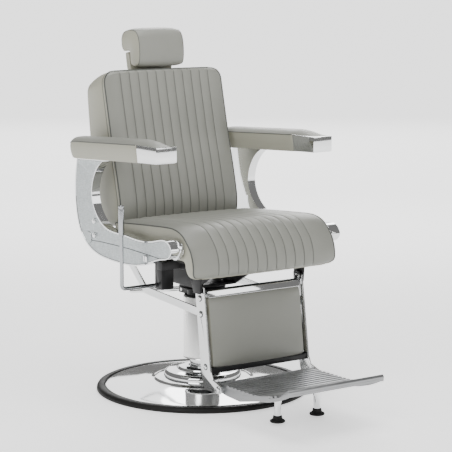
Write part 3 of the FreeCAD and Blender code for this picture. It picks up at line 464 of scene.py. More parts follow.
dome_places = [(0.140, 0.566), (0.140, 0.520)]
for word, way in (("left", 1), ("right", -1)):
    plate_low, plate_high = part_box(f"side_plate_{word}")
    outer = plate_high.x if way > 0 else plate_low.x
    plate = dressed(f"side_plate_{word}", "seat", chrome, 0,
                    f"side_casting_{word}", merge_flats=False)
    plate.data.materials.append(woven)
    plate.data.materials.append(shadow)
    pick_faces(plate, lambda face: abs(face.center.x - outer) < 0.0005 and abs(face.normal.x) > 0.9)
    bpy.ops.mesh.inset(thickness=0.0040, depth=0.0, use_boundary=True)
    bpy.ops.mesh.inset(thickness=0.0006, depth=-0.0016, use_boundary=True)
    # The narrow step into the recess takes the shadow finish: a painted shadow line round the woven
    # sheet.
    plate.active_material_index = 2
    bpy.ops.object.material_slot_assign()
    bpy.ops.mesh.inset(thickness=0.0009, depth=0.0, use_boundary=True)
    plate.active_material_index = 1
    bpy.ops.object.material_slot_assign()
    bpy.ops.object.mode_set(mode="OBJECT")
    broken_edges(plate, 0.0012, 3, 50)
    bpy.ops.object.shade_smooth_by_angle(angle=math.radians(32))
    face_way = "x" if way > 0 else "-x"
    cap = turned([
        (0.0139, -0.0060), (0.0139, 0.0001), (0.0196, 0.0001), (0.0192, 0.0006), (0, 0.0006),
    ], (outer, 0.180, 0.508), face_way, 48)
    finish_piece(cap, f"pivot_cover_{word}", woven, "seat")
    domes = [turned([
        (0, 0.0000), (0.0092, 0.0000), (0.0093, 0.0012), (0.0085, 0.0035), (0.0062, 0.0052),
        (0.0030, 0.0060), (0, 0.0061),
    ], (outer - way * 0.0012, y, z), face_way, 40) for y, z in dome_places]
    finish_piece(joined(domes), f"side_domes_{word}", chrome, "seat")
    bpy.ops.mesh.primitive_cube_add(size=1, location=(outer + way * 0.0018, -0.170, 0.486))
    stud = bpy.context.object
    stud.scale = (0.0056, 0.0180, 0.0190)
    bpy.ops.object.transform_apply(location=True, rotation=True, scale=True)
    bpy.ops.object.mode_set(mode="EDIT")
    bpy.ops.mesh.select_all(action="SELECT")
    bpy.ops.mesh.bevel(offset=0.0012, segments=3)
    bpy.ops.object.mode_set(mode="OBJECT")
    bpy.ops.object.shade_smooth_by_angle(angle=math.radians(32))
    finish_piece(stud, f"side_stud_{word}", chrome, "seat")

# ---------------------------------------------------------------- groove strips
# A thin strip of painted shadow runs along each side plate where the lower panel of the pattern
# metal meets the upper one. It follows the underside of the C.

joint_line = [
    (0.205, 0.4985), (0.1936, 0.499), (0.098, 0.5037), (-0.057, 0.5036), (-0.176, 0.4994),
    (-0.253, 0.4955),
]
for word, way in (("left", 1), ("right", -1)):
    plate_low, plate_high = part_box(f"side_plate_{word}")
    outer = plate_high.x if way > 0 else plate_low.x
    strip = bent_bar(eased([(outer - way * 0.0013, y, z) for y, z in joint_line], 0.03), 0.0010)
    finish_piece(strip, f"panel_joint_shadow_{word}", shadow, "seat")

# ---------------------------------------------------------------- front hubs
# A plated hub joins the nose of each side plate to the seat. It has a collar, a gap lined with
# painted shadow and a smaller neck that runs in to the cushion.

for word, way in (("left", 1), ("right", -1)):
    hub_low, hub_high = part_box(f"front_hub_{word}")
    inner = hub_low.x if way > 0 else -hub_high.x
    reach = hub_high.x - hub_low.x
    hub_y, hub_z = (hub_low.y + hub_high.y) / 2, (hub_low.z + hub_high.z) / 2
    hub = turned(softened([
        (0.0001, 0.0), (0.0210, 0.0), (0.0225, 0.0015), (0.0225, 0.0075), (0.0200, 0.0085),
        (0.0200, 0.0115), (0.0285, 0.0125), (0.0310, 0.0150), (0.0310, reach), (0.0001, reach),
    ], 0.0012, 3), (way * inner, hub_y, hub_z), "x" if way > 0 else "-x", 72)
    finish_piece(hub, f"hub_{word}", chrome, "seat", [f"front_hub_{word}"])
    # A thin ring of the shadow finish in the groove: painted shade.
    gap = turned([(0.0203, 0.0080), (0.0206, 0.0083), (0.0206, 0.0117), (0.0203, 0.0120),
                  (0.0190, 0.0120), (0.0190, 0.0080), (0.0203, 0.0080)],
                 (way * inner, hub_y, hub_z), "x" if way > 0 else "-x", 72)
    finish_piece(gap, f"hub_gap_shadow_{word}", shadow, "seat")

# ---------------------------------------------------------------- upholstery
# All cushions are foam under a smooth coated cloth, sewn over boards. The sewn channels
# are drawn in by their stitches, and a darker welt is sewn round the front panels.

hide, nodes, links, shader, spot = new_finish("coated_cloth")
# The walls and rear panels are painted a paler, warmer tone as if lit, and the front panels a darker one
# as if shaded: lit and shaded copies of one cloth.
lit_wall_mark = nodes.new("ShaderNodeAttribute")
lit_wall_mark.attribute_name = "wall"
seam_shade_mark = nodes.new("ShaderNodeAttribute")
seam_shade_mark.attribute_name = "seam"
mottle = cloud(nodes, links, spot, 7, 5.0)
shaded_front_tone = blend_colours(nodes, links, mottle.outputs["Fac"],
                           (0.205, 0.208, 0.182), (0.250, 0.252, 0.224))
lit_wall_tone = blend_colours(nodes, links, mottle.outputs["Fac"],
                          (0.290, 0.286, 0.228), (0.335, 0.330, 0.268))
lit_and_shaded_tone = blend_colours(nodes, links, lit_wall_mark.outputs["Fac"], shaded_front_tone, lit_wall_tone)
# The sewn lines are painted near black: painted shade in their grooves.
links.new(blend_colours(nodes, links, seam_shade_mark.outputs["Fac"], lit_and_shaded_tone, (0.045, 0.047, 0.042)),
          shader.inputs["Base Color"])
links.new(spread(nodes, links, mottle.outputs["Fac"], 0.40, 0.52), shader.inputs["Roughness"])
shader.inputs["Coat Weight"].default_value = 0.06
shader.inputs["Coat Roughness"].default_value = 0.35
pebble = nodes.new("ShaderNodeTexVoronoi")
pebble.feature = "SMOOTH_F1"
pebble.inputs["Scale"].default_value = 620
links.new(spot.outputs["Object"], pebble.inputs["Vector"])
grained = raised(nodes, links, shader, pebble.outputs["Distance"], 0.22, 0.0005)
crease = cloud(nodes, links, spot, 46, 4.0)
raised(nodes, links, shader, crease.outputs["Fac"], 0.18, 0.0016, grained)

welt = worked("dark_welt", (0.085, 0.090, 0.080), (0.050, 0.054, 0.048), (0.42, 0.55), 0.0, 700,
              0.0004)


def flow(points):
    """A smooth line through points of Y and Z in millimetres, from 0 to 1 by length."""
    spots = [Vector((0, y / 1000, z / 1000)) for y, z in points]
    marks = [0.0]
    for before, after in zip(spots, spots[1:]):
        marks.append(marks[-1] + (after - before).length)
    whole = marks[-1]

    def lean(i):
        low, high = max(i - 1, 0), min(i + 1, len(spots) - 1)
        return (spots[high] - spots[low]) / (marks[high] - marks[low])

    def at(t):
        s = min(max(t, 0.0), 1.0) * whole
        i = 0
        while i < len(spots) - 2 and s > marks[i + 1]:
            i += 1
        span = marks[i + 1] - marks[i]
        u = (s - marks[i]) / span
        return (spots[i] * (2 * u ** 3 - 3 * u ** 2 + 1) + lean(i) * span * (u ** 3 - 2 * u ** 2 + u)
                + spots[i + 1] * (3 * u ** 2 - 2 * u ** 3) + lean(i + 1) * span * (u ** 3 - u ** 2))

    return at, whole


def panel(points, half, middle=0.0, quilt=0.0, pitch=0.0, crown=0.0, puff=0.0, drop=0.0,
          corner=(0.0, 0.0), ends=(0.012, 0.012), power=1.0, widths=None):
    """A sewn panel swept across X over a line: crowned, channelled and drawn in at its edges."""
    at, whole = flow(points)

    def width(t):
        wide = half if widths is None else widths(at(t))
        for gap, radius in ((t * whole, corner[0]), ((1 - t) * whole, corner[1])):
            if gap < radius:
                wide -= radius - math.sqrt(max(radius ** 2 - (radius - gap) ** 2, 0.0))
        return wide

    def spot_at(x, t):
        wide = width(t)
        across = abs(x)
        if across > quilt:
            across = quilt + (across - quilt) * (wide - quilt) / (half - quilt)
        share = min(across / wide, 1.0)
        ahead = (at(min(t + 0.01, 1.0)) - at(max(t - 0.01, 0.0))).normalized()
        out = Vector((0, -ahead.z, ahead.y))
        rise = crown * (1 - share ** 2) ** power - drop * share ** 12
        if puff and abs(x) < quilt:
            part = (x / pitch) % 1.0
            rise += puff * 4 * part * (1 - part)
        elif puff:
            part = (abs(x) - quilt) / (half - quilt)
            rise += puff * 4 * part * (1 - part)
        for gap, reach in ((t * whole, ends[0]), ((1 - t) * whole, ends[1])):
            if gap < reach:
                rise -= drop * (1 - gap / reach) ** 2
        here = at(t)
        return Vector((middle + math.copysign(across, x), here.y, here.z)) + out * rise

    return spot_at, whole


def columns(half, quilt=0.0, pitch=0.0, seam=0.0015):
    """Columns across a panel, close together at each sewn line; the second list is the lines."""
    if not quilt:
        shares = (0.0, 0.10, 0.22, 0.34, 0.46, 0.58, 0.69, 0.78, 0.86, 0.92, 0.96, 0.985, 1.0)
        right = [half * share for share in shares]
        return [-x for x in right[:0:-1]] + right, []
    lines = []
    xs = []
    last = round(quilt / pitch)
    for k in range(-last, last + 1):
        lines.append(len(xs) + 1)
        xs += [k * pitch - seam, k * pitch, k * pitch + seam]
        if k < last:
            xs += [(k + share) * pitch for share in (0.16, 0.33, 0.5, 0.67, 0.84)]
    margin = [quilt + (half - quilt) * share for share in (0.16, 0.36, 0.56, 0.74, 0.88, 0.96, 1.0)]
    xs = [-x for x in reversed(margin)] + xs + margin
    return xs, [line + len(margin) for line in lines]


def rows(whole, pitch=0.012):
    """Rows along a panel, closer together at both ends."""
    close = (0.0, 0.0016, 0.0045, 0.0095, 0.0160, 0.0240, 0.0330)
    count = max(2, round((whole - 2 * close[-1]) / pitch))
    middle = [close[-1] + (whole - 2 * close[-1]) * i / count for i in range(1, count)]
    return [r / whole for r in [*close, *middle, *[whole - c for c in reversed(close)]]]


def stuffed(front, rear, across, lines, along, walls, reach=(0.0, 1.0), crisp=1.0, belly=0.0):
    """A box cushion: two panels over one grid with a rounded wall sewn between them."""
    n, m = len(across), len(along)
    edge = [(i, 0) for i in range(n)] + [(n - 1, j) for j in range(1, m)]
    edge += [(i, m - 1) for i in range(n - 2, -1, -1)] + [(0, j) for j in range(m - 2, 0, -1)]
    points = [front(x, t) for x in across for t in along]
    points += [rear(x, t) for x in across for t in along]
    loops = [[i * m + j for i, j in edge]]
    centre = sum(points, Vector()) / len(points)
    outward = []
    for k, place in enumerate(loops[0]):
        along_rim = points[loops[0][(k + 1) % len(edge)]] - points[loops[0][k - 1]]
        out = along_rim.cross(points[n * m + place] - points[place]).normalized()
        outward.append(out if out.dot(points[place] - centre) > 0 else -out)
    wall_seams = []
    for share, sewn in walls:
        first = len(points)
        swell = belly * 4 * share * (1 - share)
        for place, out in zip(loops[0], outward):
            points.append(points[place].lerp(points[n * m + place], share) + out * swell)
        loops.append(list(range(first, len(points))))
        if sewn:
            wall_seams += loops[-1]
    loops.append([n * m + i * m + j for i, j in edge])
    faces = []
    for i in range(n - 1):
        for j in range(m - 1):
            a, b, c, d = i * m + j, (i + 1) * m + j, (i + 1) * m + j + 1, i * m + j + 1
            faces.append((a, b, c, d))
            faces.append((n * m + d, n * m + c, n * m + b, n * m + a))
    for low, high in zip(loops, loops[1:]):
        for k in range(len(low)):
            after = (k + 1) % len(low)
            faces.append((low[after], low[k], high[k], high[after]))
    mesh = bpy.data.meshes.new("cushion")
    mesh.from_pydata(points, [], faces)
    shell = bmesh.new()
    shell.from_mesh(mesh)
    bmesh.ops.recalc_face_normals(shell, faces=shell.faces)
    sharp = shell.edges.layers.float.new("crease_edge")
    shell.verts.ensure_lookup_table()
    rims = [set(loops[0]), set(loops[-1])]
    for line in shell.edges:
        ends = {vertex.index for vertex in line.verts}
        if any(ends <= rim for rim in rims):
            line[sharp] = crisp
    shell.to_mesh(mesh)
    shell.free()
    piece = bpy.data.objects.new("cushion", mesh)
    bpy.context.scene.collection.objects.link(piece)
    seam = mesh.attributes.new("seam", "FLOAT", "POINT")
    wall = mesh.attributes.new("wall", "FLOAT", "POINT")
    held = set(loops[0]) | set(range(n * m, 2 * n * m)) | set(wall_seams)
    # The sewn lines are marked for their groove and for the painted shade in it.
    for i in lines:
        for j, t in enumerate(along):
            if reach[0] <= t <= reach[1]:
                seam.data[i * m + j].value = 1.0
                held |= {(i - 1) * m + j, i * m + j, (i + 1) * m + j}
    for index in wall_seams:
        seam.data[index].value = 1.0
    # The rear panel and the walls are marked for the paler tone painted on them as if lit.
    for index in range(n * m, len(points)):
        wall.data[index].value = 1.0
    sewn = piece.vertex_groups.new(name="sewn")
    sewn.add(sorted(held), 1.0, "REPLACE")
    runs = {
        "whole": loops[0],
        "first": [j for j in range(m)],
        "last": [(n - 1) * m + j for j in range(m)],
        "end": [i * m + m - 1 for i in range(n)],
    }
    return piece, runs


def filled(piece, pressure, panel_cap, wall_cap, groove=0.0022):
    """Fills the cushion by cloth pressure, draws its seams in and smooths it."""
    rest = [vertex.co.copy() for vertex in piece.data.vertices]
    moved = rest
    cloth = piece.modifiers.new("Filling", "CLOTH")
    cloth.settings.vertex_group_mass = "sewn"
    cloth.settings.quality = 6
    cloth.settings.tension_stiffness = 25
    cloth.settings.compression_stiffness = 25
    cloth.settings.bending_stiffness = 1.5
    cloth.settings.use_pressure = True
    cloth.settings.uniform_pressure_force = pressure
    cloth.settings.effector_weights.gravity = 0
    cloth.point_cache.frame_start = 1
    cloth.point_cache.frame_end = 20
    for count in range(1, 21):
        bpy.context.scene.frame_set(count)
    shaped = piece.evaluated_get(bpy.context.evaluated_depsgraph_get())
    moved = [vertex.co.copy() for vertex in shaped.data.vertices]
    piece.modifiers.remove(cloth)
    bpy.context.scene.frame_set(1)
    walls = piece.data.attributes["wall"].data
    seams = piece.data.attributes["seam"].data
    normals = [vertex.normal.copy() for vertex in piece.data.vertices]
    for index, vertex in enumerate(piece.data.vertices):
        shift = moved[index] - rest[index]
        cap = wall_cap if walls[index].value > 0.5 else panel_cap
        if shift.length > cap:
            shift *= cap / shift.length
        vertex.co = rest[index] + shift - normals[index] * groove * seams[index].value
    pick_none()
    piece.select_set(True)
    bpy.context.view_layer.objects.active = piece
    smooth = piece.modifiers.new("Smooth", "SUBSURF")
    smooth.levels = 1
    smooth.render_levels = 1
    bpy.ops.object.modifier_apply(modifier="Smooth")
    bpy.ops.object.shade_smooth_by_angle(angle=math.radians(55))
    return piece


def spots(piece, run):
    """Where the points of a run are before the cushion is smoothed."""
    return [piece.data.vertices[index].co.copy() for index in run]


def give_lit_wall_tone(piece):
    """Gives a whole cushion the paler, warmer tone painted on the side walls as if lit."""
    for mark in piece.data.attributes["wall"].data:
        mark.value = 1.0


plain_walls = [(0.03, False), (0.15, False), (0.35, False), (0.6, False), (0.85, False)]

# ---------------------------------------------------------------- seat cushion
# The seat rolls down over the front edge of its board. Eleven sewn lines run front to back
# and over the roll, and a welt follows each side from the back to the front lip.

seat_pitch = 0.0363
seat_half = 0.2720
lip_line = [
    (-351, 439), (-356, 452), (-357.5, 470), (-355.5, 489), (-349, 510), (-338, 531), (-321, 550),
    (-297, 571), (-268, 583), (-228, 588), (-120, 583), (0, 575), (100, 567),
]
under_line = [
    (-344, 439), (-334, 444), (-324, 451), (-316, 460), (-311, 470), (-310, 480), (-307, 489),
    (-288, 491), (-262, 491), (-228, 491), (-120, 491), (0, 491), (94, 491),
]
seat_top, seat_length = panel(lip_line, seat_half, quilt=5 * seat_pitch, pitch=seat_pitch,
                              crown=0.003, puff=0.0020, drop=0.005, corner=(0.022, 0.004))
seat_under, _ = panel(under_line, seat_half, quilt=5 * seat_pitch, corner=(0.022, 0.004))
xs, lines = columns(seat_half, 5 * seat_pitch, seat_pitch)
seat, runs = stuffed(seat_top, seat_under, xs, lines, rows(seat_length), plain_walls,
                     (0.012, 1.0), belly=0.003)
welt_runs = [spots(seat, runs["first"]), spots(seat, runs["last"])]
filled(seat, 4.0, 0.004, 0.0045)
finish_piece(seat, "seat_pad", hide, "seat", ["seat_cushion"])
for word, run in zip(("right", "left"), welt_runs):
    finish_piece(bent_bar(run, 0.0021), f"seat_welt_{word}", welt, "seat")

# ---------------------------------------------------------------- back cushion
# The back is a deep box cushion with rounded upper corners. Eleven sewn lines run down its
# front, a welt goes round the front panel and a second seam lies just behind it.

back_pitch = 0.0346
back_half = 0.2310
face_line = [
    (149, 533), (134, 543), (126, 558), (123, 580), (123, 604), (127, 632), (148, 720),
    (173, 812), (197, 912), (215, 990), (225, 1041),
]
rear_line = [
    (229, 533), (240, 556), (253, 584), (268, 612), (281, 640), (291, 665), (309, 755),
    (320, 830), (331, 920), (336, 980), (336, 1004),
]
back_face, back_length = panel(face_line, back_half, quilt=5 * back_pitch, pitch=back_pitch,
                               crown=0.004, puff=0.0022, drop=0.008, corner=(0.014, 0.040))
back_rear, _ = panel(rear_line, back_half, quilt=5 * back_pitch, corner=(0.014, 0.040))
xs, lines = columns(back_half, 5 * back_pitch, back_pitch)
back_walls = [(0.015, False), (0.085, False), (0.100, True), (0.115, False), (0.25, False),
              (0.45, False), (0.7, False), (0.9, False)]
back, runs = stuffed(back_face, back_rear, xs, lines, rows(back_length), back_walls,
                     (0.01, 0.985), belly=0.006)
welt_run = spots(back, runs["whole"])
filled(back, 4.0, 0.0045, 0.005)
finish_piece(back, "back_pad", hide, "back", ["back_cushion"])
finish_piece(bent_bar(welt_run, 0.0023, closed=True), "back_welt", welt, "back")

# ---------------------------------------------------------------- rear of the back
# A shaped board closes the back of the chair. It is wrapped in the same cloth
# over thin foam, and screwed to the tilting frame.

shell_line = [(345, 1000), (341, 915), (329, 828), (315, 740), (298, 655), (268, 594), (238, 537)]
shell_inner = [(337, 1000), (332, 915), (320, 828), (306, 740), (289, 655), (259, 596), (230, 540)]
shell_face, shell_length = panel(shell_line, 0.2215, crown=0.004, drop=0.004, corner=(0.036, 0.02))
shell_back, _ = panel(shell_inner, 0.2215, corner=(0.036, 0.02))
xs, lines = columns(0.2215)
shell, runs = stuffed(shell_face, shell_back, xs, lines, rows(shell_length), plain_walls)
welt_run = spots(shell, runs["whole"])
filled(shell, 2.0, 0.003, 0.001)
# The whole shell takes the tone painted on the lit walls.
give_lit_wall_tone(shell)
finish_piece(shell, "back_shell", hide, "back", ["back_board"])
finish_piece(bent_bar(welt_run, 0.0020, closed=True), "shell_welt", welt, "back")

# ---------------------------------------------------------------- headrest
# The head cushion is a block of soft foam whose cloth wraps from the bottom edge over the
# front and top; a rounded panel is sewn in at each end. A padded tongue carries it.

head_line = [
    (268, 1049), (252, 1050), (240, 1058), (234, 1075), (233, 1100), (236, 1128), (244, 1152),
    (260, 1168), (285, 1173), (314, 1171), (340, 1162), (352, 1146), (354, 1130), (347, 1111),
]
head_inner = [
    (290, 1051), (293, 1058), (294, 1065), (295, 1072), (295, 1080), (296, 1088), (297, 1093),
    (299, 1097), (302, 1099), (308, 1100), (315, 1100), (323, 1099), (331, 1098), (339, 1099),
]
head_face, head_length = panel(head_line, 0.087, crown=0.003, drop=0.004, corner=(0.022, 0.006),
                               ends=(0.02, 0.01))
head_back, _ = panel(head_inner, 0.087, corner=(0.014, 0.004))
xs, lines = columns(0.087)
head, runs = stuffed(head_face, head_back, xs, lines, rows(head_length, 0.008), plain_walls,
                     crisp=0.25, belly=0.005)
seam_runs = [spots(head, runs["first"]), spots(head, runs["last"])]
filled(head, 4.0, 0.004, 0.006)
finish_piece(head, "head_pad", hide, "headrest", ["headrest_cushion"])
for word, run in zip(("right", "left"), seam_runs):
    finish_piece(bent_bar(run, 0.0009), f"head_seam_{word}", welt, "headrest")

tongue_line = [(298, 1033), (301, 1046), (304, 1060), (308, 1079), (312, 1097)]
tongue_rear = [(322, 1030), (325, 1043), (328, 1057), (332, 1075), (334, 1093)]
tongue_face, tongue_length = panel(tongue_line, 0.082, crown=0.0, drop=0.003, corner=(0.010, 0.003))
tongue_back, _ = panel(tongue_rear, 0.082, corner=(0.010, 0.003))
xs, lines = columns(0.082)
tongue, runs = stuffed(tongue_face, tongue_back, xs, lines, rows(tongue_length, 0.006),
                       plain_walls, crisp=0.4)
filled(tongue, 3.0, 0.0015, 0.002)
# The whole tongue takes the tone painted on the lit walls.
give_lit_wall_tone(tongue)
finish_piece(tongue, "head_tongue", hide, "headrest_stem", ["headrest_tongue"])
refinish("headrest_plate", black)
refinish("headrest_pin", steel)
dressed("headrest_guide", "back", black, 0.0006, "stem_guide")
dressed("headrest_post", "headrest_stem", chrome, 0.0004, "stem_bar")

# ---------------------------------------------------------------- arms
# Each arm is a board under a long crowned pad. Its nose is closed by a plated cap that wraps
# the outer side, the front and the inner side; the pad tapers to a point over it.

arm_middle = 0.300
arm_slope = 0.049
cap_rear = -0.135


def under_arm(y):
    """Height of the arm's underside, which falls towards the back."""
    return 0.774 - arm_slope * y


def arm_wide(here):
    """Half width of the arm pad's top at a place along it."""
    if here.y > cap_rear + 0.006:
        tail = max(0.0, (here.y - 0.246) / 0.040)
        return 0.0362 - 0.006 * tail ** 2
    taper = min(1.0, (cap_rear + 0.006 - here.y) / 0.100)
    return 0.0330 - 0.006 * taper ** 2


top_line = []
base_line = []
for y in (-0.241, -0.225, -0.200, -0.170, -0.145, -0.137, -0.131, -0.120, -0.08, -0.02, 0.05,
          0.12, 0.18, 0.23, 0.264, 0.285):
    tail = max(0.0, (y - 0.235) / 0.050)
    top_line.append((y * 1000, (under_arm(y) + 0.0540) * 1000 - 6 * tail ** 2
                     if y > cap_rear else 835.0))
    rise = max(0.0, (y - 0.252) / 0.033)
    base_line.append(((y - 0.006 * rise) * 1000, (under_arm(y) - 0.0010 + 0.017 * rise ** 2) * 1000))
for word, way in (("left", 1), ("right", -1)):
    pad_top, pad_length = panel(top_line, 0.0360, way * arm_middle, crown=0.0165, drop=0.0,
                                ends=(0.0, 0.0), power=0.8, widths=arm_wide,
                                corner=(0.004, 0.014))
    pad_base, _ = panel(base_line, 0.0360, way * arm_middle, corner=(0.004, 0.014),
                        widths=lambda here: arm_wide(here) - 0.004)
    xs, lines = columns(0.0360)
    pad, runs = stuffed(pad_top, pad_base, xs, lines, rows(pad_length, 0.010), plain_walls,
                        belly=0.0035)
    first = len([t for t in rows(pad_length, 0.010) if t * pad_length < 0.112])
    welt_runs = [spots(pad, runs[end][first:]) for end in ("first", "last")]
    tail_run = spots(pad, runs["end"])
    for vertex in pad.data.vertices:
        if vertex.co.y < cap_rear:
            fall = min(1.0, (cap_rear - vertex.co.y) / 0.104)
            vertex.co.z -= max(0.0, vertex.co.z - 0.8350) * fall ** 2.2
    filled(pad, 3.0, 0.0020, 0.0025)
    finish_piece(pad, f"arm_top_{word}", hide, "seat",
                 [f"arm_pad_{word}", f"arm_board_{word}"])
    line = welt_runs[0] + tail_run[1:-1] + list(reversed(welt_runs[1]))
    finish_piece(bent_bar(line, 0.0014), f"arm_welt_{word}", welt, "seat")
    cap_low, cap_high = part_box(f"arm_cap_{word}")
    bpy.ops.mesh.primitive_cube_add(size=1)
    cap = bpy.context.object
    bpy.ops.object.mode_set(mode="EDIT")
    bpy.ops.mesh.select_all(action="SELECT")
    bpy.ops.transform.resize(value=(cap_high.x - cap_low.x, cap_high.y - cap_low.y, 0.0485))
    bpy.ops.transform.translate(value=((cap_low.x + cap_high.x) / 2,
                                       (cap_low.y + cap_high.y) / 2, 0.8110))
    bpy.ops.object.mode_set(mode="OBJECT")
    for vertex in cap.data.vertices:
        if vertex.co.z < 0.79:
            vertex.co.z = under_arm(vertex.co.y) + 0.0005
            if vertex.co.y > cap_rear - 0.01:
                vertex.co.y -= 0.0090
        else:
            vertex.co.z = 0.8352
    pick_faces(cap, lambda face: face.normal.y > 0.8)
    bpy.ops.mesh.inset(thickness=0.0036)
    bpy.ops.transform.translate(value=(0, -0.104, 0))
    bpy.ops.object.mode_set(mode="OBJECT")
    broken_edges(cap, 0.0013, 3, 30)
    bpy.ops.object.transform_apply(location=True, rotation=True, scale=True)
    bpy.ops.object.shade_smooth_by_angle(angle=math.radians(32))
    finish_piece(cap, f"arm_nose_{word}", chrome, "seat", [f"arm_cap_{word}"])

# ---------------------------------------------------------------- leg rest
# Two flat plated bars hang from the seat and carry the leg pad between a top and a bottom
# rail. Dome headed screws fix the rails, the link and the footrest.

satin = worked("satin_plate", (0.74, 0.75, 0.75), (0.62, 0.63, 0.63), (0.12, 0.24), 1.0, 60,
               0.0003, (12, 1, 1))
calf_line = [(-325, 150), (-323, 180), (-317, 228), (-309, 294), (-303, 342), (-299, 366)]
calf_rear = [(-300, 150), (-297, 180), (-291, 228), (-283, 294), (-278, 342), (-275, 366)]
calf_face, calf_length = panel(calf_line, 0.1755, crown=0.004, drop=0.006, corner=(0.004, 0.004),
                               ends=(0.016, 0.016))
calf_back, _ = panel(calf_rear, 0.1755, corner=(0.004, 0.004))
xs, lines = columns(0.1755)
calf, runs = stuffed(calf_face, calf_back, xs, lines, rows(calf_length), plain_walls, crisp=0.5)
filled(calf, 3.0, 0.004, 0.0005)
finish_piece(calf, "calf_pad", hide, "leg_rest", ["leg_pad"])
for word, way in (("left", 1), ("right", -1)):
    dressed(f"leg_bar_{word}", "leg_rest", satin, 0.0007, f"leg_side_{word}")
    dressed(f"link_bar_{word}", "links", satin, 0.0007, f"tilt_link_{word}")
dressed("leg_top_rail", "leg_rest", chrome, 0.0020, "upper_rail")
dressed("leg_bottom_rail", "leg_rest", black, 0.0020, "lower_rail")
refinish("leg_pins", chrome)
screw_places = [(-0.270, 0.363), (-0.275, 0.314), (-0.301, 0.152)]
foot_hinge = (-0.369, 0.094)
for word, way in (("left", 1), ("right", -1)):
    bar_low, bar_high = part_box(f"leg_bar_{word}")
    outer = bar_high.x if way > 0 else bar_low.x
    face_way = "x" if way > 0 else "-x"
    screws = [turned([
        (0, 0.0), (0.0082, 0.0), (0.0083, 0.0012), (0.0074, 0.0031), (0.0050, 0.0044),
        (0.0022, 0.0046), (0.0018, 0.0033), (0, 0.0033),
    ], (outer, y, z), face_way, 36) for y, z in screw_places]
    screws.append(turned([
        (0, 0.0), (0.0098, 0.0), (0.0099, 0.0016), (0.0088, 0.0040), (0.0060, 0.0054),
        (0.0026, 0.0056), (0.0020, 0.0042), (0, 0.0042),
    ], (outer, *foot_hinge), face_way, 36))
    finish_piece(joined(screws), f"leg_screws_{word}", chrome, "leg_rest")
    # Thin discs of the shadow finish under each screw head: painted shadow.
    rings = [turned([(0, 0.0), (0.0104, 0.0), (0.0104, 0.0005), (0, 0.0006)],
                    (outer, y, z), face_way, 36)
             for y, z in [*screw_places, foot_hinge]]
    finish_piece(joined(rings), f"screw_shadow_rings_{word}", shadow, "leg_rest")

# ---------------------------------------------------------------- footrest
# The footrest is one aluminium casting with ribs across its tread and toothed edges.
# Two plated stems with rubber feet stand under it when it is down.

cast = worked("cast_aluminium", (0.36, 0.365, 0.37), (0.24, 0.245, 0.25), (0.30, 0.46), 0.85,
              340, 0.0005)
dressed("footrest_plate", "footrest", cast, 0.0005, "tread_casting")


def tread_edge(y):
    """Height of the tread's upper edge at a place along it."""
    return 0.111 + 1.42 * max(0.0, -y - 0.525) ** 2


bead_side, bead_drop, bead_radius = 0.1725, 0.0125, 0.0075
bead_run = [(bead_side, y, tread_edge(y) - bead_drop)
            for y in (-0.43, -0.50, -0.55, -0.60, -0.65, -0.68, -0.7030)]
bead_run += [(-x, y, z) for x, y, z in reversed(bead_run)]
bead = bent_bar(eased(bead_run, 0.012), bead_radius)
finish_piece(bead, "tread_bead", cast, "footrest")
stem_low, stem_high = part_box("footrest_stems")
foot_low, foot_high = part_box("footrest_feet")
stem_y = (stem_low.y + stem_high.y) / 2
stems = []
feet = []
for way in (1, -1):
    stem_x = way * 0.076
    stems.append(turned([
        (0, stem_low.z - 0.004), (0.0100, stem_low.z - 0.004), (0.0105, stem_low.z),
        (0.0105, stem_high.z - 0.012), (0.0125, stem_high.z - 0.011), (0.0125, stem_high.z),
        (0, stem_high.z),
    ], (stem_x, stem_y, 0), "z", 48))
    feet.append(turned(softened([
        (0.0001, foot_low.z), (0.0225, foot_low.z), (0.0240, foot_low.z + 0.0025),
        (0.0235, foot_low.z + 0.0060), (0.0165, foot_low.z + 0.0095), (0.0140, foot_low.z + 0.0150),
        (0.0140, foot_high.z - 0.001), (0.0106, foot_high.z), (0.0106, foot_high.z - 0.003),
        (0.0001, foot_high.z - 0.003),
    ], 0.002, 3), (stem_x, stem_y, 0), "z", 56))
finish_piece(joined(stems), "foot_posts", chrome, "footrest", ["footrest_stems"])
finish_piece(joined(feet), "foot_tips", rubber, "footrest", ["footrest_feet"])

# ---------------------------------------------------------------- recline lever
# A plated bar turns in the bracket under the seat and stands up beside the right arm.
# Its grip is a plated sleeve with a dark ring and a domed end.

rod_low, rod_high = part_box("lever_rod")
grip_low, grip_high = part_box("lever_grip")
lever_x = (grip_low.x + grip_high.x) / 2
lever_y = (rod_low.y + rod_high.y) / 2
lever_z = rod_low.z + 0.006
lever = bent_bar(eased([
    (rod_high.x, lever_y, lever_z), (lever_x, lever_y, lever_z), (lever_x, lever_y, grip_high.z - 0.006),
], 0.014, 10), 0.006)
# Bar and grip are chrome painted dark grey: a painted reflection of the dark surroundings that the
# plating shows.
reflection_dark_plate = worked("reflection_dark_plate", (0.40, 0.41, 0.42), (0.26, 0.27, 0.28), (0.07, 0.16), 1.0, 120,
                    0.0002, (1, 1, 8))
finish_piece(lever, "lever_bar", reflection_dark_plate, "recline_lever", ["lever_rod"])
grip = turned(softened([
    (0.0061, grip_low.z), (0.0080, grip_low.z), (0.0090, grip_low.z + 0.0015),
    (0.0090, grip_high.z - 0.0120), (0.0082, grip_high.z - 0.0115),
    (0.0082, grip_high.z - 0.0085), (0.0090, grip_high.z - 0.0080),
    (0.0088, grip_high.z - 0.0020), (0.0060, grip_high.z), (0.0001, grip_high.z + 0.0003),
], 0.001, 3), (lever_x, lever_y, 0), "z", 56)
finish_piece(grip, "lever_handle", reflection_dark_plate, "recline_lever", ["lever_grip"])
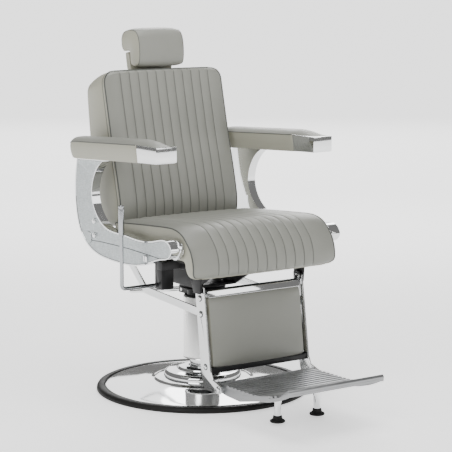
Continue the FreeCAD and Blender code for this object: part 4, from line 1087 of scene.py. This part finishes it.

# ---------------------------------------------------------------- floor, light and camera
# A pale floor that glows, less near the chair and more far from it: painted light. Soft light from a
# studio's large lamps and a long lens.

bpy.ops.mesh.primitive_plane_add(size=400, location=(0, 0, 0))
floor = bpy.context.object
floor.name = "floor"
paper, nodes, links, shader, spot = new_finish("pale_floor")
shader.inputs["Base Color"].default_value = (0.92, 0.92, 0.92, 1)
shader.inputs["Roughness"].default_value = 0.7
shader.inputs["Emission Color"].default_value = (1, 1, 1, 1)
# The glow grows with distance from the chair's centre: painted light that keeps the floor white.
reach = nodes.new("ShaderNodeVectorMath")
reach.operation = "LENGTH"
links.new(spot.outputs["Object"], reach.inputs[0])
glow = nodes.new("ShaderNodeMapRange")
glow.interpolation_type = "SMOOTHSTEP"
glow.inputs["From Min"].default_value = 0.7
glow.inputs["From Max"].default_value = 5.0
glow.inputs["To Min"].default_value = 0.90
glow.inputs["To Max"].default_value = 2.0
links.new(reach.outputs["Value"], glow.inputs["Value"])
links.new(glow.outputs["Result"], shader.inputs["Emission Strength"])
floor.data.materials.append(paper)

world = bpy.data.worlds.new("studio")
world.use_nodes = True
world.node_tree.nodes["Background"].inputs["Color"].default_value = (1.0, 0.99, 0.97, 1)
world.node_tree.nodes["Background"].inputs["Strength"].default_value = 0.24
bpy.context.scene.world = world
for name, place, size, power in (
    ("key", (-3.2, -1.6, 2.8), 2.2, 90), ("fill", (1.6, -3.6, 2.2), 2.0, 34),
    ("rim", (2.4, 2.6, 2.6), 2.0, 60), ("top", (0.0, 0.0, 3.6), 2.6, 90),
    ("wall", (4.9, 7.0, 4.4), 6.0, 260),
):
    lamp = bpy.data.lights.new(name, "AREA")
    lamp.size = size
    lamp.energy = power
    lamp_object = bpy.data.objects.new(name, lamp)
    lamp_object.location = place
    aim = Vector((0, 0, 0.5)) - Vector(place)
    lamp_object.rotation_euler = aim.to_track_quat("-Z", "Y").to_euler()
    bpy.context.scene.collection.objects.link(lamp_object)

lens = bpy.data.cameras.new("studio_camera")
lens.lens = 134.6
lens.sensor_width = 36
camera = bpy.data.objects.new("studio_camera", lens)
camera.location = (-3.068, -4.517, 1.36)
camera.rotation_euler = (math.radians(81.45), 0, math.radians(-35))
bpy.context.scene.collection.objects.link(camera)
bpy.context.scene.camera = camera
